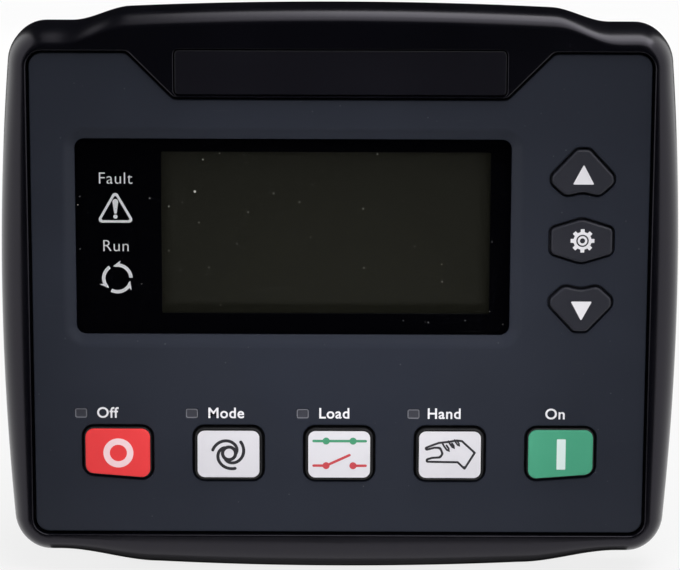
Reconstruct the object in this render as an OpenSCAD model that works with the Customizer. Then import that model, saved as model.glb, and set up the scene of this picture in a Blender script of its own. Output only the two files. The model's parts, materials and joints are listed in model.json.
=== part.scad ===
// Genset controller that fits a rectangular panel cut-out.
// X points right, Z up and Y into the panel. The origin is the middle of the cut-out,
// on the panel's front face, so the bezel lies at y < 0 and the rear case at y > 0.

/* [Display] */
// Width of the part of the display that shows
lcd_view_w = 68.5; // [62:0.5:74]
// Height of the part of the display that shows
lcd_view_h = 34.3; // [31:0.1:37]
// Width of the icon strip to the left of the display, inside the window
icon_band = 17.8; // [16.5:0.1:20]
// Distance from the window's left edge to the middle of the icons
icon_inset = 8.6; // [7:0.1:9]
// Height of the upper icon's lamp above the window's lower edge
icon_high = 26.8; // [24:0.1:29]
// Height of the lower icon's lamp above the window's lower edge
icon_low = 11.9; // [9:0.1:14]
// Black border of the window to the right of the display
border_right = 4.2; // [3.5:0.1:6]
// Black border of the window above the display
border_top = 2.9; // [2.2:0.1:4]
// Black border of the window below the display
border_bottom = 4.2; // [3.5:0.1:6]
// Thickness of the clear lens
lens_t = 1.5; // [1.2:0.1:2.5]
// Overlap of the lens behind the edge of the window
lens_lap = 1.5; // [1:0.1:1.9]
// Thickness of the display's glass cell
lcd_glass_t = 2.2; // [1.8:0.1:2.8]
// Thickness of the light guide behind the glass
lcd_light_t = 2.7; // [2:0.1:3.5]
// Border of the display's metal frame around the visible part
lcd_border = 6; // [5:0.1:6.5]
// Sheet thickness of the display's metal frame
lcd_sheet = 0.5; // [0.4:0.05:0.8]
// Radius of the window's corners
window_r = 2; // [1:0.1:3]

/* [Face plate] */
// Thickness of the face plate
plate_t = 1.6; // [1.4:0.1:2.2]
// Radius of the plate's corners
plate_r = 2.8; // [2:0.1:4]
// From the plate's left edge to the window
margin_left = 9.1; // [8:0.1:12]
// From the window to the middle of the arrow keys
nav_space = 14.7; // [13:0.1:17]
// From the middle of the arrow keys to the plate's right edge
nav_margin = 13.9; // [12.5:0.1:16]
// From the plate's top edge to the window
margin_top = 18; // [16.5:0.1:20]
// From the window to the middle of the key row
row_drop = 25.4; // [24:0.1:29]
// From the middle of the key row to the plate's bottom edge
margin_bottom = 17.2; // [16.5:0.1:20]
// Width of the bevel around the window
bevel_w = 2.3; // [1.5:0.1:3]

/* [Bezel] */
// Height of the bezel's front above the panel
bezel_d = 14; // [12.8:0.1:16]
// From the plate to the bezel's outer edge, half way up each side
rim_side = 6.9; // [5.8:0.1:9]
// How much the sides draw in towards the corners
side_bow = 2.6; // [0.5:0.1:3]
// From the plate to the bezel's top edge, beside the raised middle
rim_top = 5.3; // [4.6:0.1:8]
// From the plate to the bezel's bottom edge, beside the lowered middle
rim_bottom = 5.1; // [4.3:0.1:7]
// Rise of the raised middle of the top edge
crown_rise = 3; // [1:0.1:5]
// Further rise of the top edge towards its middle
crown_dome = 1; // [0:0.1:2]
// Half width of the raised middle, at the foot of its slopes
crown_half = 58; // [46:0.5:60]
// Length of each slope of the raised middle
crown_slope = 13; // [6:0.5:20]
// Drop of the lowered middle of the bottom edge
belly_drop = 2.9; // [1:0.1:5]
// Further drop of the bottom edge towards its middle
belly_dome = 1; // [0:0.1:3]
// Half width of the lowered middle, at the start of its slopes
belly_half = 61.5; // [50:0.5:62]
// Length of each slope of the lowered middle
belly_slope = 21.5; // [10:0.5:30]
// Radius of the bezel's corners
corner_r = 7.4; // [6:0.1:10]
// Width of the flat front between the groove and the rounded outer edge
flat_edge = 0.9; // [0.5:0.1:1.4]
// Share of the raised middle's rise that the flat front follows
crown_share = 1.15; // [0.3:0.05:1.3]
// Share of the lowered middle's drop that the flat front follows
belly_share = 0.2; // [0:0.05:0.9]
// Share of the sides' bow that the flat front follows
side_share = 0.15; // [0.05:0.05:0.15]
// Depth of the rounded outer edge
round_d = 7; // [4:0.1:9]
// How much deeper that rounding gets towards the top edge
top_deep = 3; // [0:0.1:3.5]
// How much of that depth is taken back along the raised middle
crown_tight = 4.5; // [0:0.1:5.5]
// Groove between the bezel and the face plate
groove = 0.5; // [0.3:0.05:0.6]
// Depth of the face plate below the bezel's front
plate_sink = 0.8; // [0.3:0.1:1.2]
// Width of the ledge that the face plate is bonded to
ledge_w = 2.5; // [1.5:0.1:3]
// How far the hollow inside the bezel reaches past the plate's edge
hollow_reach = 1.5; // [0.5:0.1:2]
// Thickness of the bezel's rear wall
rear_web_t = 2; // [1.5:0.1:2.4]
// Drop of the bezel's tab into the plate's top edge
tab_drop = 9.6; // [9:0.1:11]
// Width of the tab along its lower edge
tab_w = 69; // [60:0.5:76]
// Width of the bare name plate
name_w = 68.4; // [50:0.1:69]
// Height of the bare name plate
name_h = 9.4; // [7:0.1:10.4]
// Thickness of the name plate
name_t = 0.8; // [0.5:0.1:1.2]

/* [Keys] */
// Width of each hole in the key row
key_w = 15.2; // [13.5:0.1:15.8]
// Height of each hole in the key row
key_h = 12.3; // [11:0.1:13.5]
// Radius of the holes' corners
key_r = 2.6; // [1.5:0.1:3.2]
// Distance between neighbouring keys
key_pitch = 23.3; // [22.8:0.1:24.5]
// Rise of the outer lower corner of the first and last key
key_slope = 1.2; // [0:0.1:2]
// Clearance around each key cap
key_space = 0.5; // [0.3:0.05:0.8]
// Height of the key caps above the face plate
key_proud = 0.8; // [0.4:0.1:1.5]
// Travel of each key
key_travel = 0.8; // [0.4:0.1:0.9]
// Width of the flange that keeps each key behind the plate
key_lip = 0.7; // [0.4:0.05:0.9]
// Thickness of that flange
key_lip_t = 1; // [0.6:0.1:1.1]
// Diameter of the stem behind each key
stem_d = 4; // [3:0.1:5]
// Width of the arrow key holes
nav_w = 13.7; // [12.5:0.1:14.5]
// Height of the arrow key holes
nav_h = 10.6; // [9.6:0.1:11.4]
// Height of the menu key hole
menu_h = 10.2; // [9:0.1:11]
// Distance between the arrow keys and the menu key
nav_pitch = 14.35; // [14:0.05:16]
// From the plate's top edge to the middle of the menu key
nav_drop = 38.95; // [37:0.05:42]
// Width of the small lamp windows over the key row
lamp_w = 2.5; // [1.8:0.05:3]
// Height of the small lamp windows
lamp_h = 2; // [1.5:0.05:2.6]
// From the top of the key holes to the middle of the lamp windows
lamp_rise = 2.4; // [2:0.05:4]
// How far the middle of the lamp windows lies outside the holes' left edge
lamp_out = 0.1; // [-1:0.1:1]

/* [Switches and boards] */
// Width of a push switch's body
switch_w = 6; // [5:0.1:6.5]
// Height of a push switch's body
switch_h = 3.5; // [3.2:0.1:3.6]
// Height of the plunger above the switch's body
plunger_reach = 1.5; // [1.2:0.1:1.6]
// Diameter of the plunger
plunger_d = 3.5; // [2.5:0.1:4]
// Thickness of both circuit boards
board_t = 1.6; // [1.2:0.1:1.8]
// Height of the relays on the rear board
relay_h = 15; // [13:0.1:16]
// Diameter of the long screws that hold front and rear together
long_screw_d = 3; // [2.5:0.1:3.2]

/* [Rear case] */
// How far the rear case stays inside the plate's outline
case_inset = 6.1; // [5.5:0.1:7]
// Depth of the rear case behind the panel's front face
case_d = 28; // [26.5:0.1:32]
// Wall of the rear case
case_wall = 2.2; // [1.8:0.1:2.6]
// Radius of the rear case's corners
case_r = 3; // [2:0.1:5]
// Thickness of the panel gasket when clamped
gasket_t = 1; // [0.6:0.1:1.4]
// How far the gasket reaches past the plate's outline
gasket_reach = 1; // [0:0.1:2]
// Panel thickness that the clamp screws are set to
panel_room = 6; // [2:0.1:9]
// Diameter of the clamp screws
clamp_d = 4; // [3:0.1:5]
// Distance between neighbouring terminals
pole_pitch = 5.08; // [4.9:0.01:5.2]
// Height of the terminal sockets
socket_h = 11; // [10:0.1:12]
// How far the terminal plugs stand out of the rear case
plug_out = 10; // [8:0.1:14]

/* [Hidden] */
$fn = 48;
KEYS = ["off", "mode", "load", "hand", "on"];
NAVS = ["up", "menu", "down"];

// Colours of the finishes
BLACK = "#111114";
SLATE = "#2c2e36";
GLASS = "#08080b";
STEEL = "#b9bcc0";
BOARD = "#1d5a38";
SILVER = "#c8c9cb";
GREEN = "#3f9a58";

// Small fixed clearances
slip = 0.1;
screw_play = 0.05;
hair = 0.2;
ample = 0.3;

// Face plate, window and key places, in the plane of the plate
window_w = icon_band + lcd_view_w + border_right;
window_h = border_top + lcd_view_h + border_bottom;
plate_w = margin_left + window_w + nav_space + nav_margin;
plate_h = margin_top + window_h + row_drop + margin_bottom;
window_x = -plate_w / 2 + margin_left + window_w / 2;
window_z = plate_h / 2 - margin_top - window_h / 2;
lcd_x = window_x - window_w / 2 + icon_band + lcd_view_w / 2;
lcd_z = window_z + window_h / 2 - border_top - lcd_view_h / 2;
icon_x = window_x - window_w / 2 + icon_inset;
row_z = -plate_h / 2 + margin_bottom;
nav_x = plate_w / 2 - nav_margin;
nav_z = plate_h / 2 - nav_drop;
function key_x(i) = (i - 2) * key_pitch;
function key_place(i) = [key_x(i), row_z];
function nav_place(i) = [nav_x, nav_z + (1 - i) * nav_pitch];
function lamp_place(i) = [key_x(i) - key_w / 2 - lamp_out, row_z + key_h / 2 + lamp_rise];

// Depths, from the front to the back
front_y = -bezel_d;
plate_y = front_y + plate_sink;
plate_back = plate_y + plate_t;
lens_back = plate_back + lens_t;
lcd_y = lens_back + hair;
board_y = lcd_y + lcd_sheet + lcd_glass_t + lcd_light_t;
board_back = board_y + board_t;
flange_y = plate_back + slip;
switch_y = board_y - switch_h;
stem_end = switch_y - plunger_reach;
bezel_back = -gasket_t;
web_y = bezel_back - rear_web_t;
io_y = board_back + relay_h + 1.9;
io_back = io_y + board_t;
wall_y = case_d - case_wall;

// Rear case, boards and the screws through them
case_w = plate_w - 2 * case_inset;
case_h = plate_h - 2 * case_inset;
case_lap = 1.8;
spigot_w = case_w - 2 * case_lap;
spigot_h = case_h - 2 * case_lap;
spigot_wall = 1.4;
board_space = 0.9;
board_w = spigot_w - 2 * board_space;
board_h = spigot_h - 2 * board_space;
boss_d = key_pitch - key_w - 2 * key_lip - 1.2;
boss_edge = 4.3;
long_places = [
    [board_w / 2 - boss_edge, board_h / 2 - boss_edge],
    [-board_w / 2 + boss_edge, board_h / 2 - boss_edge],
    [1.5 * key_pitch, row_z - boss_edge],
    [-1.5 * key_pitch, row_z - boss_edge]
];
tube_d = long_screw_d + 4;
head_d = 2 * long_screw_d - 0.2;
head_t = 0.8 * long_screw_d;
sink_d = head_d + 2 * ample;
sink_depth = head_t + 0.6;
post_edge = 8;
post_low = -8;
post_high = 12;
post_places = [for (x = [-1, 1], z = [post_low, post_high]) [x * (case_w / 2 - post_edge), z]];
post_d = 5.6;
post_screw_d = 2;
usb_w = 12;
usb_h = 10.8;
usb_edge = 10.2;
wall_edge = 17;
usb_place = [case_w / 2 - usb_edge, case_h / 2 - wall_edge];

// Terminal blocks: number of poles, middle along X, and side of the case (1 top, -1 bottom)
socket_wall = 1.2;
socket_end = 2.4;
function block_w(poles) = poles * pole_pitch + socket_end;
block_space = 2;
top_edge = 12;
top_start = -case_w / 2 + top_edge;
BLOCKS = [
    [8, top_start + block_w(8) / 2, 1],
    [6, top_start + block_w(8) + block_space + block_w(6) / 2, 1],
    [10, (-block_w(8) - block_space) / 2, -1],
    [8, (block_w(10) + block_space) / 2, -1]
];
function block_place(b) = [b[1], b[2] * (case_h / 2 - wall_edge)];
function pole_x(b, i) = b[1] + (i - (b[0] - 1) / 2) * pole_pitch;
plug_h = socket_h + 1.5;
plug_y = case_d + ample;
plug_end = case_d + plug_out;
wire_hole = 3.2;
well_d = 3.6;
well_depth = 3.6;
well_y = plug_y + 0.45 * plug_out;

// Clamp brackets
bracket_y = 13;
bracket_len = 12;
bracket_t = 2;
bracket_h = 18;
arm_y = 14;
arm_t = 4;
arm_reach = 11;
arm_h = 12;
hook_y = 20;
hook_t = 2;
hook_h = 4;
hook_z = 6;
hook_lip = 1.3;
hook_forward = 1.5;
clamp_x = case_w / 2 + 6;

// Outline helpers: points run counter-clockwise as [x, z]
arc_steps = 8;
function unit(v) = v / norm(v);
function before(p, i) = p[(i + len(p) - 1) % len(p)];
function after(p, i) = p[(i + 1) % len(p)];

// Moves every side of an outline outwards by g
function grown(p, g) = [
    for (i = [0 : len(p) - 1])
        let (u = unit(p[i] - before(p, i)), v = unit(after(p, i) - p[i]))
        let (nu = [u.y, -u.x], nv = [v.y, -v.x])
        p[i] + g * (nu + nv) / (1 + nu * nv)
];

// Points of the arc that rounds the corner b between a and c
function corner(a, b, c, r) =
    let (u = unit(a - b), v = unit(c - b), half = acos(u * v) / 2)
    let (reach = min(r / tan(half), 0.49 * min(norm(a - b), norm(c - b))))
    let (true_r = reach * tan(half), mid = b + unit(u + v) * true_r / sin(half))
    let (from = b + u * reach - mid, to = b + v * reach - mid)
    let (start = atan2(from.y, from.x), turn = atan2(to.y, to.x) - start)
    let (sweep = turn > 180 ? turn - 360 : turn < -180 ? turn + 360 : turn)
    [for (k = [0:arc_steps]) mid + true_r * [cos(start + sweep * k / arc_steps),
                                             sin(start + sweep * k / arc_steps)]];

// Rounds every corner of an outline, with one radius or one for each corner
function rounded(p, r) = [
    for (i = [0 : len(p) - 1])
        each corner(before(p, i), p[i], after(p, i), is_list(r) ? r[i] : r)
];
function shifted(p, place) = [for (q = p) q + place];
function box_points(w, h) = [[-w / 2, -h / 2], [w / 2, -h / 2], [w / 2, h / 2], [-w / 2, h / 2]];
function round_box(w, h, r, place = [0, 0]) = rounded(shifted(box_points(w, h), place), r);

// Extrudes an outline from depth y0 to depth y1
module slab(points, y0, y1) {
    translate([0, y1, 0]) rotate([90, 0, 0]) linear_extrude(y1 - y0) polygon(points);
}

// A block and a rod along Y at [x, z]
module block(w, h, place, y0, y1) {
    slab(shifted(box_points(w, h), place), y0, y1);
}
module rod(d, place, y0, y1) {
    translate([place.x, y1, place.y]) rotate([90, 0, 0]) cylinder(d = d, h = y1 - y0);
}

// Outlines of the keys, around their middles
function row_points(i) = let (w = key_w / 2, h = key_h / 2)
    [[-w, i == 0 ? key_slope - h : -h], [w, i == 4 ? key_slope - h : -h], [w, h], [-w, h]];
notch_rise = 0.9;
function arrow_points() = let (w = nav_w / 2, h = nav_h / 2)
    [[-0.53 * w, -h], [0, notch_rise - h], [0.53 * w, -h], [w, -0.45 * h], [w, -0.08 * h],
     [0.22 * w, h], [-0.22 * w, h], [-w, -0.08 * h], [-w, -0.45 * h]];
arrow_radii = [2.4, 5, 2.4, 1.9, 1.9, 1.6, 1.6, 1.9, 1.9];
function menu_points() = let (w = nav_w / 2, h = menu_h / 2)
    [[0, -h], [w, -0.58 * h], [w, 0.58 * h], [0, h], [-w, 0.58 * h], [-w, -0.58 * h]];
menu_radii = [4, 1.6, 1.6, 4, 1.6, 1.6];
function flipped(p) = [for (i = [len(p) - 1 : -1 : 0]) [p[i].x, -p[i].y]];
function backwards(r) = [for (i = [len(r) - 1 : -1 : 0]) r[i]];
function nav_points(i) = i == 0 ? arrow_points() : i == 1 ? menu_points() : flipped(arrow_points());
function nav_radii(i) = i == 0 ? arrow_radii : i == 1 ? menu_radii : backwards(arrow_radii);
function row_outline(i, g) = shifted(rounded(grown(row_points(i), g), key_r + g), key_place(i));
function nav_outline(i, g) =
    shifted(rounded(grown(nav_points(i), g), [for (r = nav_radii(i)) r + g]), nav_place(i));

// The plate's outline with the notch for the bezel's tab, grown by g
function tab_points(g) = let (top = plate_h / 2 + g, foot = plate_h / 2 - tab_drop + g)
    let (half = tab_w / 2 - g * tan(22.5))
    [[-half - top + foot, top], [-half, foot], [half, foot], [half + top - foot, top]];
function plate_points(g) = let (w = plate_w / 2 + g, h = plate_h / 2 + g, tab = tab_points(g))
    [[-w, -h], [w, -h], [w, h], tab[3], tab[2], tab[1], tab[0], [-w, h]];
tab_r = 1.8;
function plate_outline(g) = let (r = plate_r + g)
    rounded(plate_points(g), [r, r, r, tab_r, tab_r, tab_r, tab_r, r]);

// Outer skin of the bezel: rings of points around the rim, one ring for each depth,
// from the edge of the flat front to the outer edge
ring_steps = 8;
side_steps = 10;
edge_steps = 44;
function ease(t) = let (s = min(max(t, 0), 1)) s * s * (3 - 2 * s);
function lift(x) = crown_rise * ease((crown_half - abs(x)) / crown_slope)
    + crown_dome * max(0, 1 - pow(x / (crown_half - crown_slope), 2));
function sag(x) = belly_drop * ease((belly_half - abs(x)) / belly_slope)
    + belly_dome * max(0, 1 - pow(x / (belly_half - belly_slope), 2));
outer_w = plate_w / 2 + rim_side;
outer_top = plate_h / 2 + rim_top;
outer_bottom = plate_h / 2 + rim_bottom;
flat_w = plate_w / 2 + groove + flat_edge;
flat_h = plate_h / 2 + groove + flat_edge;
flat_r = plate_r + groove + flat_edge;
function bent(p, top, bottom, bow, up, down) = let (share = p.y > 0 ? p.y / top : -p.y / bottom)
    [p.x * (1 - bow * share * share),
     p.y + share * (p.y > 0 ? up * lift(p.x) : -down * sag(p.x))];
function arc_points(mid, r, start) =
    [for (k = [0:ring_steps]) mid + r * [cos(start + 90 * k / ring_steps), sin(start + 90 * k / ring_steps)]];
function between(a, b, n) = [for (k = [1 : n - 1]) a + (b - a) * k / n];
function ring_points(w, t, b, r) = concat(
    arc_points([w - r, t - r], r, 0), between([w - r, t], [r - w, t], edge_steps),
    arc_points([r - w, t - r], r, 90), between([-w, t - r], [-w, r - b], side_steps),
    arc_points([r - w, r - b], r, 180), between([r - w, -b], [w - r, -b], edge_steps),
    arc_points([w - r, r - b], r, 270), between([w, r - b], [w, t - r], side_steps));
outer_ring = [for (p = ring_points(outer_w, outer_top, outer_bottom, corner_r))
    bent(p, outer_top, outer_bottom, side_bow / outer_w, 1, 1)];
flat_ring = [for (p = ring_points(flat_w, flat_h, flat_h, flat_r))
    bent(p, flat_h, flat_h, side_share * side_bow / flat_w, crown_share, belly_share)];
round_steps = 8;
round_depths = [for (p = ring_points(outer_w, outer_top, outer_bottom, corner_r))
    let (share = max(p.y, 0) / outer_top)
    round_d + share * share * (top_deep - crown_tight * ease((crown_half - abs(p.x)) / crown_slope))];
module rim_skin() {
    n = len(outer_ring);
    rings = [
        for (k = [0:round_steps]) let (a = 90 * k / round_steps) [for (i = [0 : n - 1])
            let (p = flat_ring[i] + (outer_ring[i] - flat_ring[i]) * sin(a))
            [p.x, front_y + round_depths[i] * (1 - cos(a)), p.y]],
        [for (p = outer_ring) [p.x, bezel_back, p.y]]
    ];
    last = len(rings) - 1;
    sides = [
        for (k = [0 : last - 1], i = [0 : n - 1]) let (a = k * n + i, b = k * n + (i + 1) % n)
            each [[a, b, b + n], [a, b + n, a + n]]
    ];
    front = [for (i = [n - 1 : -1 : 0]) i];
    back = [for (i = [0 : n - 1]) last * n + i];
    polyhedron(points = [for (ring = rings) each ring], faces = concat([front], sides, [back]));
}

// Moulded front frame with the raised middle, the tab and the rear wall
name_place = [0, plate_h / 2 - tab_drop + 1 + name_h / 2];
hollow_r = 4;
module front_bezel() {
    color(BLACK) difference() {
        rim_skin();
        slab(plate_outline(groove), front_y - 1, plate_back);
        slab(plate_outline(-ledge_w), plate_back - 1, lens_back + 1);
        slab(round_box(plate_w + 2 * hollow_reach, plate_h + 2 * hollow_reach, hollow_r), lens_back, web_y);
        slab(round_box(spigot_w + 2 * slip, spigot_h + 2 * slip, case_r), web_y - 1, bezel_back + 1);
        slab(round_box(name_w + 2 * slip, name_h + 2 * slip, 1, name_place), front_y - 1, front_y + name_t);
    }
}

// Face plate with the bevelled window, the key holes and the four screw bosses
cut_over = 0.5;
bevel_lean = bevel_w / plate_t;
bevel_wide = window_r + bevel_w + cut_over * bevel_lean;
bevel_narrow = window_r - cut_over * bevel_lean;
module window_cut() {
    w = window_w - 2 * window_r;
    h = window_h - 2 * window_r;
    translate([window_x, plate_y, window_z]) rotate([-90, 0, 0]) {
        translate([-w / 2, -h / 2, -cut_over]) cube([w, h, plate_t + 2 * cut_over]);
        for (s = [-1, 1]) {
            translate([0, s * h / 2, 0]) rotate([90, 0, 90]) bevel_wedge(w, s);
            translate([s * w / 2, 0, 0]) rotate([90, 0, 0]) bevel_wedge(h, s);
            for (t = [-1, 1])
                translate([s * w / 2, t * h / 2, -cut_over])
                    cylinder(r1 = bevel_wide, r2 = bevel_narrow, h = plate_t + 2 * cut_over);
        }
    }
}
// One straight side of the bevel, wider in front than behind
module bevel_wedge(len, s) {
    translate([0, 0, -len / 2]) linear_extrude(len)
        polygon([[-s * window_r, -cut_over], [s * bevel_wide, -cut_over],
                 [s * bevel_narrow, plate_t + cut_over], [-s * window_r, plate_t + cut_over]]);
}
module face_plate() {
    color(SLATE) difference() {
        union() {
            slab(plate_outline(0), plate_y, plate_back);
            for (p = long_places) rod(boss_d, p, plate_back - slip, board_y);
        }
        window_cut();
        for (i = [0:4]) slab(row_outline(i, 0), plate_y - 1, plate_back + 1);
        for (i = [0:2]) slab(nav_outline(i, 0), plate_y - 1, plate_back + 1);
        for (i = [0:3])
            block(lamp_w + 2 * screw_play, lamp_h + 2 * screw_play, lamp_place(i),
                  plate_y - 1, plate_back + 1);
        for (p = long_places) rod(long_screw_d + 2 * screw_play, p, plate_back + 0.6, board_y + 1);
    }
}
module name_plate() {
    color("#1a1a1d") slab(round_box(name_w, name_h, 1, name_place), front_y + screw_play, front_y + name_t);
}

// Clear lens, bonded behind the window
module display_lens() {
    color(GLASS) slab(round_box(window_w + 2 * lens_lap, window_h + 2 * lens_lap, 2, [window_x, window_z]),
                      plate_back, lens_back);
}

// Display: glass cell and light guide in a folded metal frame
lcd_place = [lcd_x, lcd_z];
lcd_inside = lcd_border - lcd_sheet;
lcd_glass_y = lcd_y + lcd_sheet;
module lcd_block(border, y0, y1) {
    block(lcd_view_w + 2 * border, lcd_view_h + 2 * border, lcd_place, y0, y1);
}
module lcd_glass() {
    color("#1e1e19") lcd_block(lcd_inside - slip, lcd_glass_y, lcd_glass_y + lcd_glass_t);
}
module lcd_backlight() {
    color("#e8ecd8") lcd_block(lcd_inside - slip, board_y - lcd_light_t, board_y);
}
module lcd_frame() {
    color(STEEL) difference() {
        lcd_block(lcd_border, lcd_y, board_y);
        lcd_block(0, lcd_y - 1, lcd_glass_y + 1);
        lcd_block(lcd_inside, lcd_glass_y, board_y + 1);
    }
}

// Foam gasket between the bezel and the panel
module panel_gasket() {
    color("#1c1c1c") difference() {
        slab(round_box(plate_w + 2 * gasket_reach, plate_h + 2 * gasket_reach, case_r + case_inset),
             bezel_back, 0);
        slab(round_box(case_w + 4 * ample, case_h + 4 * ample, case_r), bezel_back - 1, 1);
    }
}

// Key cap with its flange and stem
module key_cap(cap, flange, place) {
    slab(cap, plate_y - key_proud, flange_y + slip);
    slab(flange, flange_y, flange_y + key_lip_t);
    rod(stem_d, place, flange_y + key_lip_t - slip, stem_end);
}
ROW_COLOURS = ["#e64144", "#dedce1", "#dedce1", "#dedce1", "#4fa584"];
module row_key(i) {
    color(ROW_COLOURS[i]) key_cap(row_outline(i, -key_space), row_outline(i, key_lip), key_place(i));
}
module nav_key(i) {
    color("#26272c") key_cap(nav_outline(i, -key_space), nav_outline(i, key_lip), nav_place(i));
}

// Push switches: a body on the board with a plunger that slides in its bore
plunger_in = 1.7;
plunger_room = 0.2;
module plunger(place) {
    color("#202020") rod(plunger_d, place, stem_end, switch_y + plunger_in);
}
module switch_body(place) {
    difference() {
        block(switch_w, switch_w, place, switch_y, board_y);
        rod(plunger_d + 2 * screw_play, place,
            switch_y - 1, switch_y + plunger_in + key_travel + plunger_room);
    }
}
module switch_bodies() {
    color("#3a3a3d") {
        for (i = [0:4]) switch_body(key_place(i));
        for (i = [0:2]) switch_body(nav_place(i));
    }
}

// Light pipes and the small lamps on the board
led_w = 2;
led_h = 1.25;
led_t = 0.8;
pipe_lip = 0.35;
module light_pipe(i) {
    color("#55565c") {
        block(lamp_w, lamp_h, lamp_place(i), plate_y + hair, board_y - led_t - ample);
        block(lamp_w + 2 * pipe_lip, lamp_h + 2 * pipe_lip, lamp_place(i), plate_back, plate_back + led_t);
    }
}
module indicator_leds() {
    color("#f2efd0") {
        for (i = [0:3]) block(led_w, led_h, lamp_place(i), board_y - led_t, board_y);
        for (z = [icon_low, icon_high])
            block(led_w, led_h, [icon_x, window_z - window_h / 2 + z], board_y - led_t, board_y);
    }
}

// Circuit boards and what they carry
chip_w = 14;
chip_t = 1.4;
chip_edge = 25.3;
chip_z = 6;
chip_place = [-board_w / 2 + chip_edge, chip_z];
header_z = 8;
header_place = [0, header_z];
header_pins = 12;
pin_pitch = 2.54;
pin_w = 0.64;
pin_hole = 0.9;
header_base = 2.5;
socket_tall = 8.5;
pin_in = 5;
module pins(size, y0, y1) {
    for (i = [0 : header_pins - 1], s = [-0.5, 0.5])
        block(size, size, header_place + [(i - (header_pins - 1) / 2) * pin_pitch, s * pin_pitch], y0, y1);
}
module display_board() {
    color(BOARD) difference() {
        block(board_w, board_h, [0, 0], board_y, board_back);
        for (p = long_places) rod(long_screw_d + 0.4, p, board_y - 1, board_back + 1);
    }
}
module processor() {
    color("#222225") block(chip_w, chip_w, chip_place, board_back, board_back + chip_t);
}
module pin_header() {
    color("#18181a") {
        block(header_pins * pin_pitch, 2 * pin_pitch, header_place, board_back, board_back + header_base);
        pins(pin_w, board_back + header_base - slip, io_y - socket_tall + pin_in);
    }
}
module pin_socket() {
    color("#18181a") difference() {
        block(header_pins * pin_pitch, 2 * pin_pitch, header_place, io_y - socket_tall, io_y);
        pins(pin_hole, io_y - socket_tall - 1, io_y - socket_tall + pin_in + ample);
    }
}
module io_board() {
    color(BOARD) difference() {
        block(board_w, board_h, [0, 0], io_y, io_back);
        for (p = long_places) rod(tube_d + 2 * ample, p, io_y - 1, io_back + 1);
        for (p = post_places) rod(post_screw_d + 0.4, p, io_y - 1, io_back + 1);
    }
}
relay_w = 19;
relay_deep = 15.5;
relay_pitch = 23.5;
relay_edge = 24.2;
relay_z = -board_h / 2 + relay_edge;
module relay(i) {
    color("#1f6fb0") block(relay_w, relay_deep, [(i - 2.5) * relay_pitch, relay_z], io_y - relay_h, io_y);
}
can_d = 10;
can_h = 13;
can_edge = 17.3;
can_pitch = 13;
can_top = 15.2;
can_places = [for (i = [0, 1])
    [-board_w / 2 + can_edge + i * can_pitch, board_h / 2 - can_top]];
module capacitors() {
    color("#2a2f45") for (p = can_places) rod(can_d, p, io_y - can_h, io_y);
}
cell_d = 20;
cell_t = 3.2;
cell_edge = 25.3;
cell_top = 18.2;
cell_place = [board_w / 2 - cell_edge, board_h / 2 - cell_top];
holder_wall = 1.4;
holder_floor = 1;
module clock_battery() {
    color(SILVER) rod(cell_d, cell_place, io_y - holder_floor - cell_t, io_y - holder_floor);
}
module battery_holder() {
    color("#18181a") difference() {
        rod(cell_d + 2 * slip + 2 * holder_wall, cell_place, io_y - holder_floor - cell_t, io_y);
        rod(cell_d + 2 * slip, cell_place, io_y - holder_floor - cell_t - 1, io_y - holder_floor);
    }
}

// Terminal blocks: a socket on the board and a plug with its wire holes and screws
socket_floor = 2.6;
nose_gap = 0.15;
module terminal_socket(b) {
    mouth = case_d - 2 * hair;
    color(GREEN) difference() {
        block(block_w(b[0]), socket_h, block_place(b), io_back, mouth);
        block(block_w(b[0]) - 2 * socket_wall, socket_h - 2 * socket_wall, block_place(b),
              io_back + socket_floor, mouth + 1);
    }
}
module terminal_plug(b) {
    place = block_place(b);
    color(GREEN) difference() {
        union() {
            block(block_w(b[0]) - 2 * socket_wall - 2 * nose_gap, socket_h - 2 * socket_wall - 2 * nose_gap,
                  place, io_back + socket_floor + ample, plug_y + slip);
            block(block_w(b[0]) - nose_gap, plug_h, place, plug_y, plug_end);
        }
        for (i = [0 : b[0] - 1]) {
            block(wire_hole, wire_hole, [pole_x(b, i), place.y], plug_y + 1, plug_end + 1);
            pole_well(b, i);
        }
    }
}
module pole_well(b, i) {
    face = block_place(b).y + b[2] * plug_h / 2;
    translate([pole_x(b, i), well_y, face - b[2] * well_depth])
        rotate([b[2] > 0 ? 0 : 180, 0, 0]) cylinder(d = well_d, h = well_depth + 1);
}
screw_slot_w = 0.7;
screw_slot_d = 0.8;
pole_screw_t = 2.4;
module pole_screw(b, i) {
    face = block_place(b).y + b[2] * plug_h / 2;
    translate([pole_x(b, i), well_y, face - b[2] * well_depth]) rotate([b[2] > 0 ? 0 : 180, 0, 0])
        difference() {
            cylinder(d = well_d - 2 * slip, h = pole_screw_t);
            translate([-well_d, -screw_slot_w / 2, pole_screw_t - screw_slot_d])
                cube([2 * well_d, screw_slot_w, screw_slot_d + 1]);
        }
}
module terminal_screws() {
    color(STEEL) for (b = BLOCKS, i = [0 : b[0] - 1]) pole_screw(b, i);
}

// Square data socket on the rear board
usb_wall = 1;
usb_floor = 4;
tongue_w = 5.6;
tongue_h = 3.2;
module usb_socket() {
    mouth = case_d - hair;
    color(STEEL) difference() {
        block(usb_w, usb_h, usb_place, io_back, mouth);
        block(usb_w - 2 * usb_wall, usb_h - 2 * usb_wall, usb_place, io_back + usb_floor, mouth + 1);
    }
    color("#f0f0ee") block(tongue_w, tongue_h, usb_place, io_back + usb_floor - slip, mouth - 1.5);
}

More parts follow.
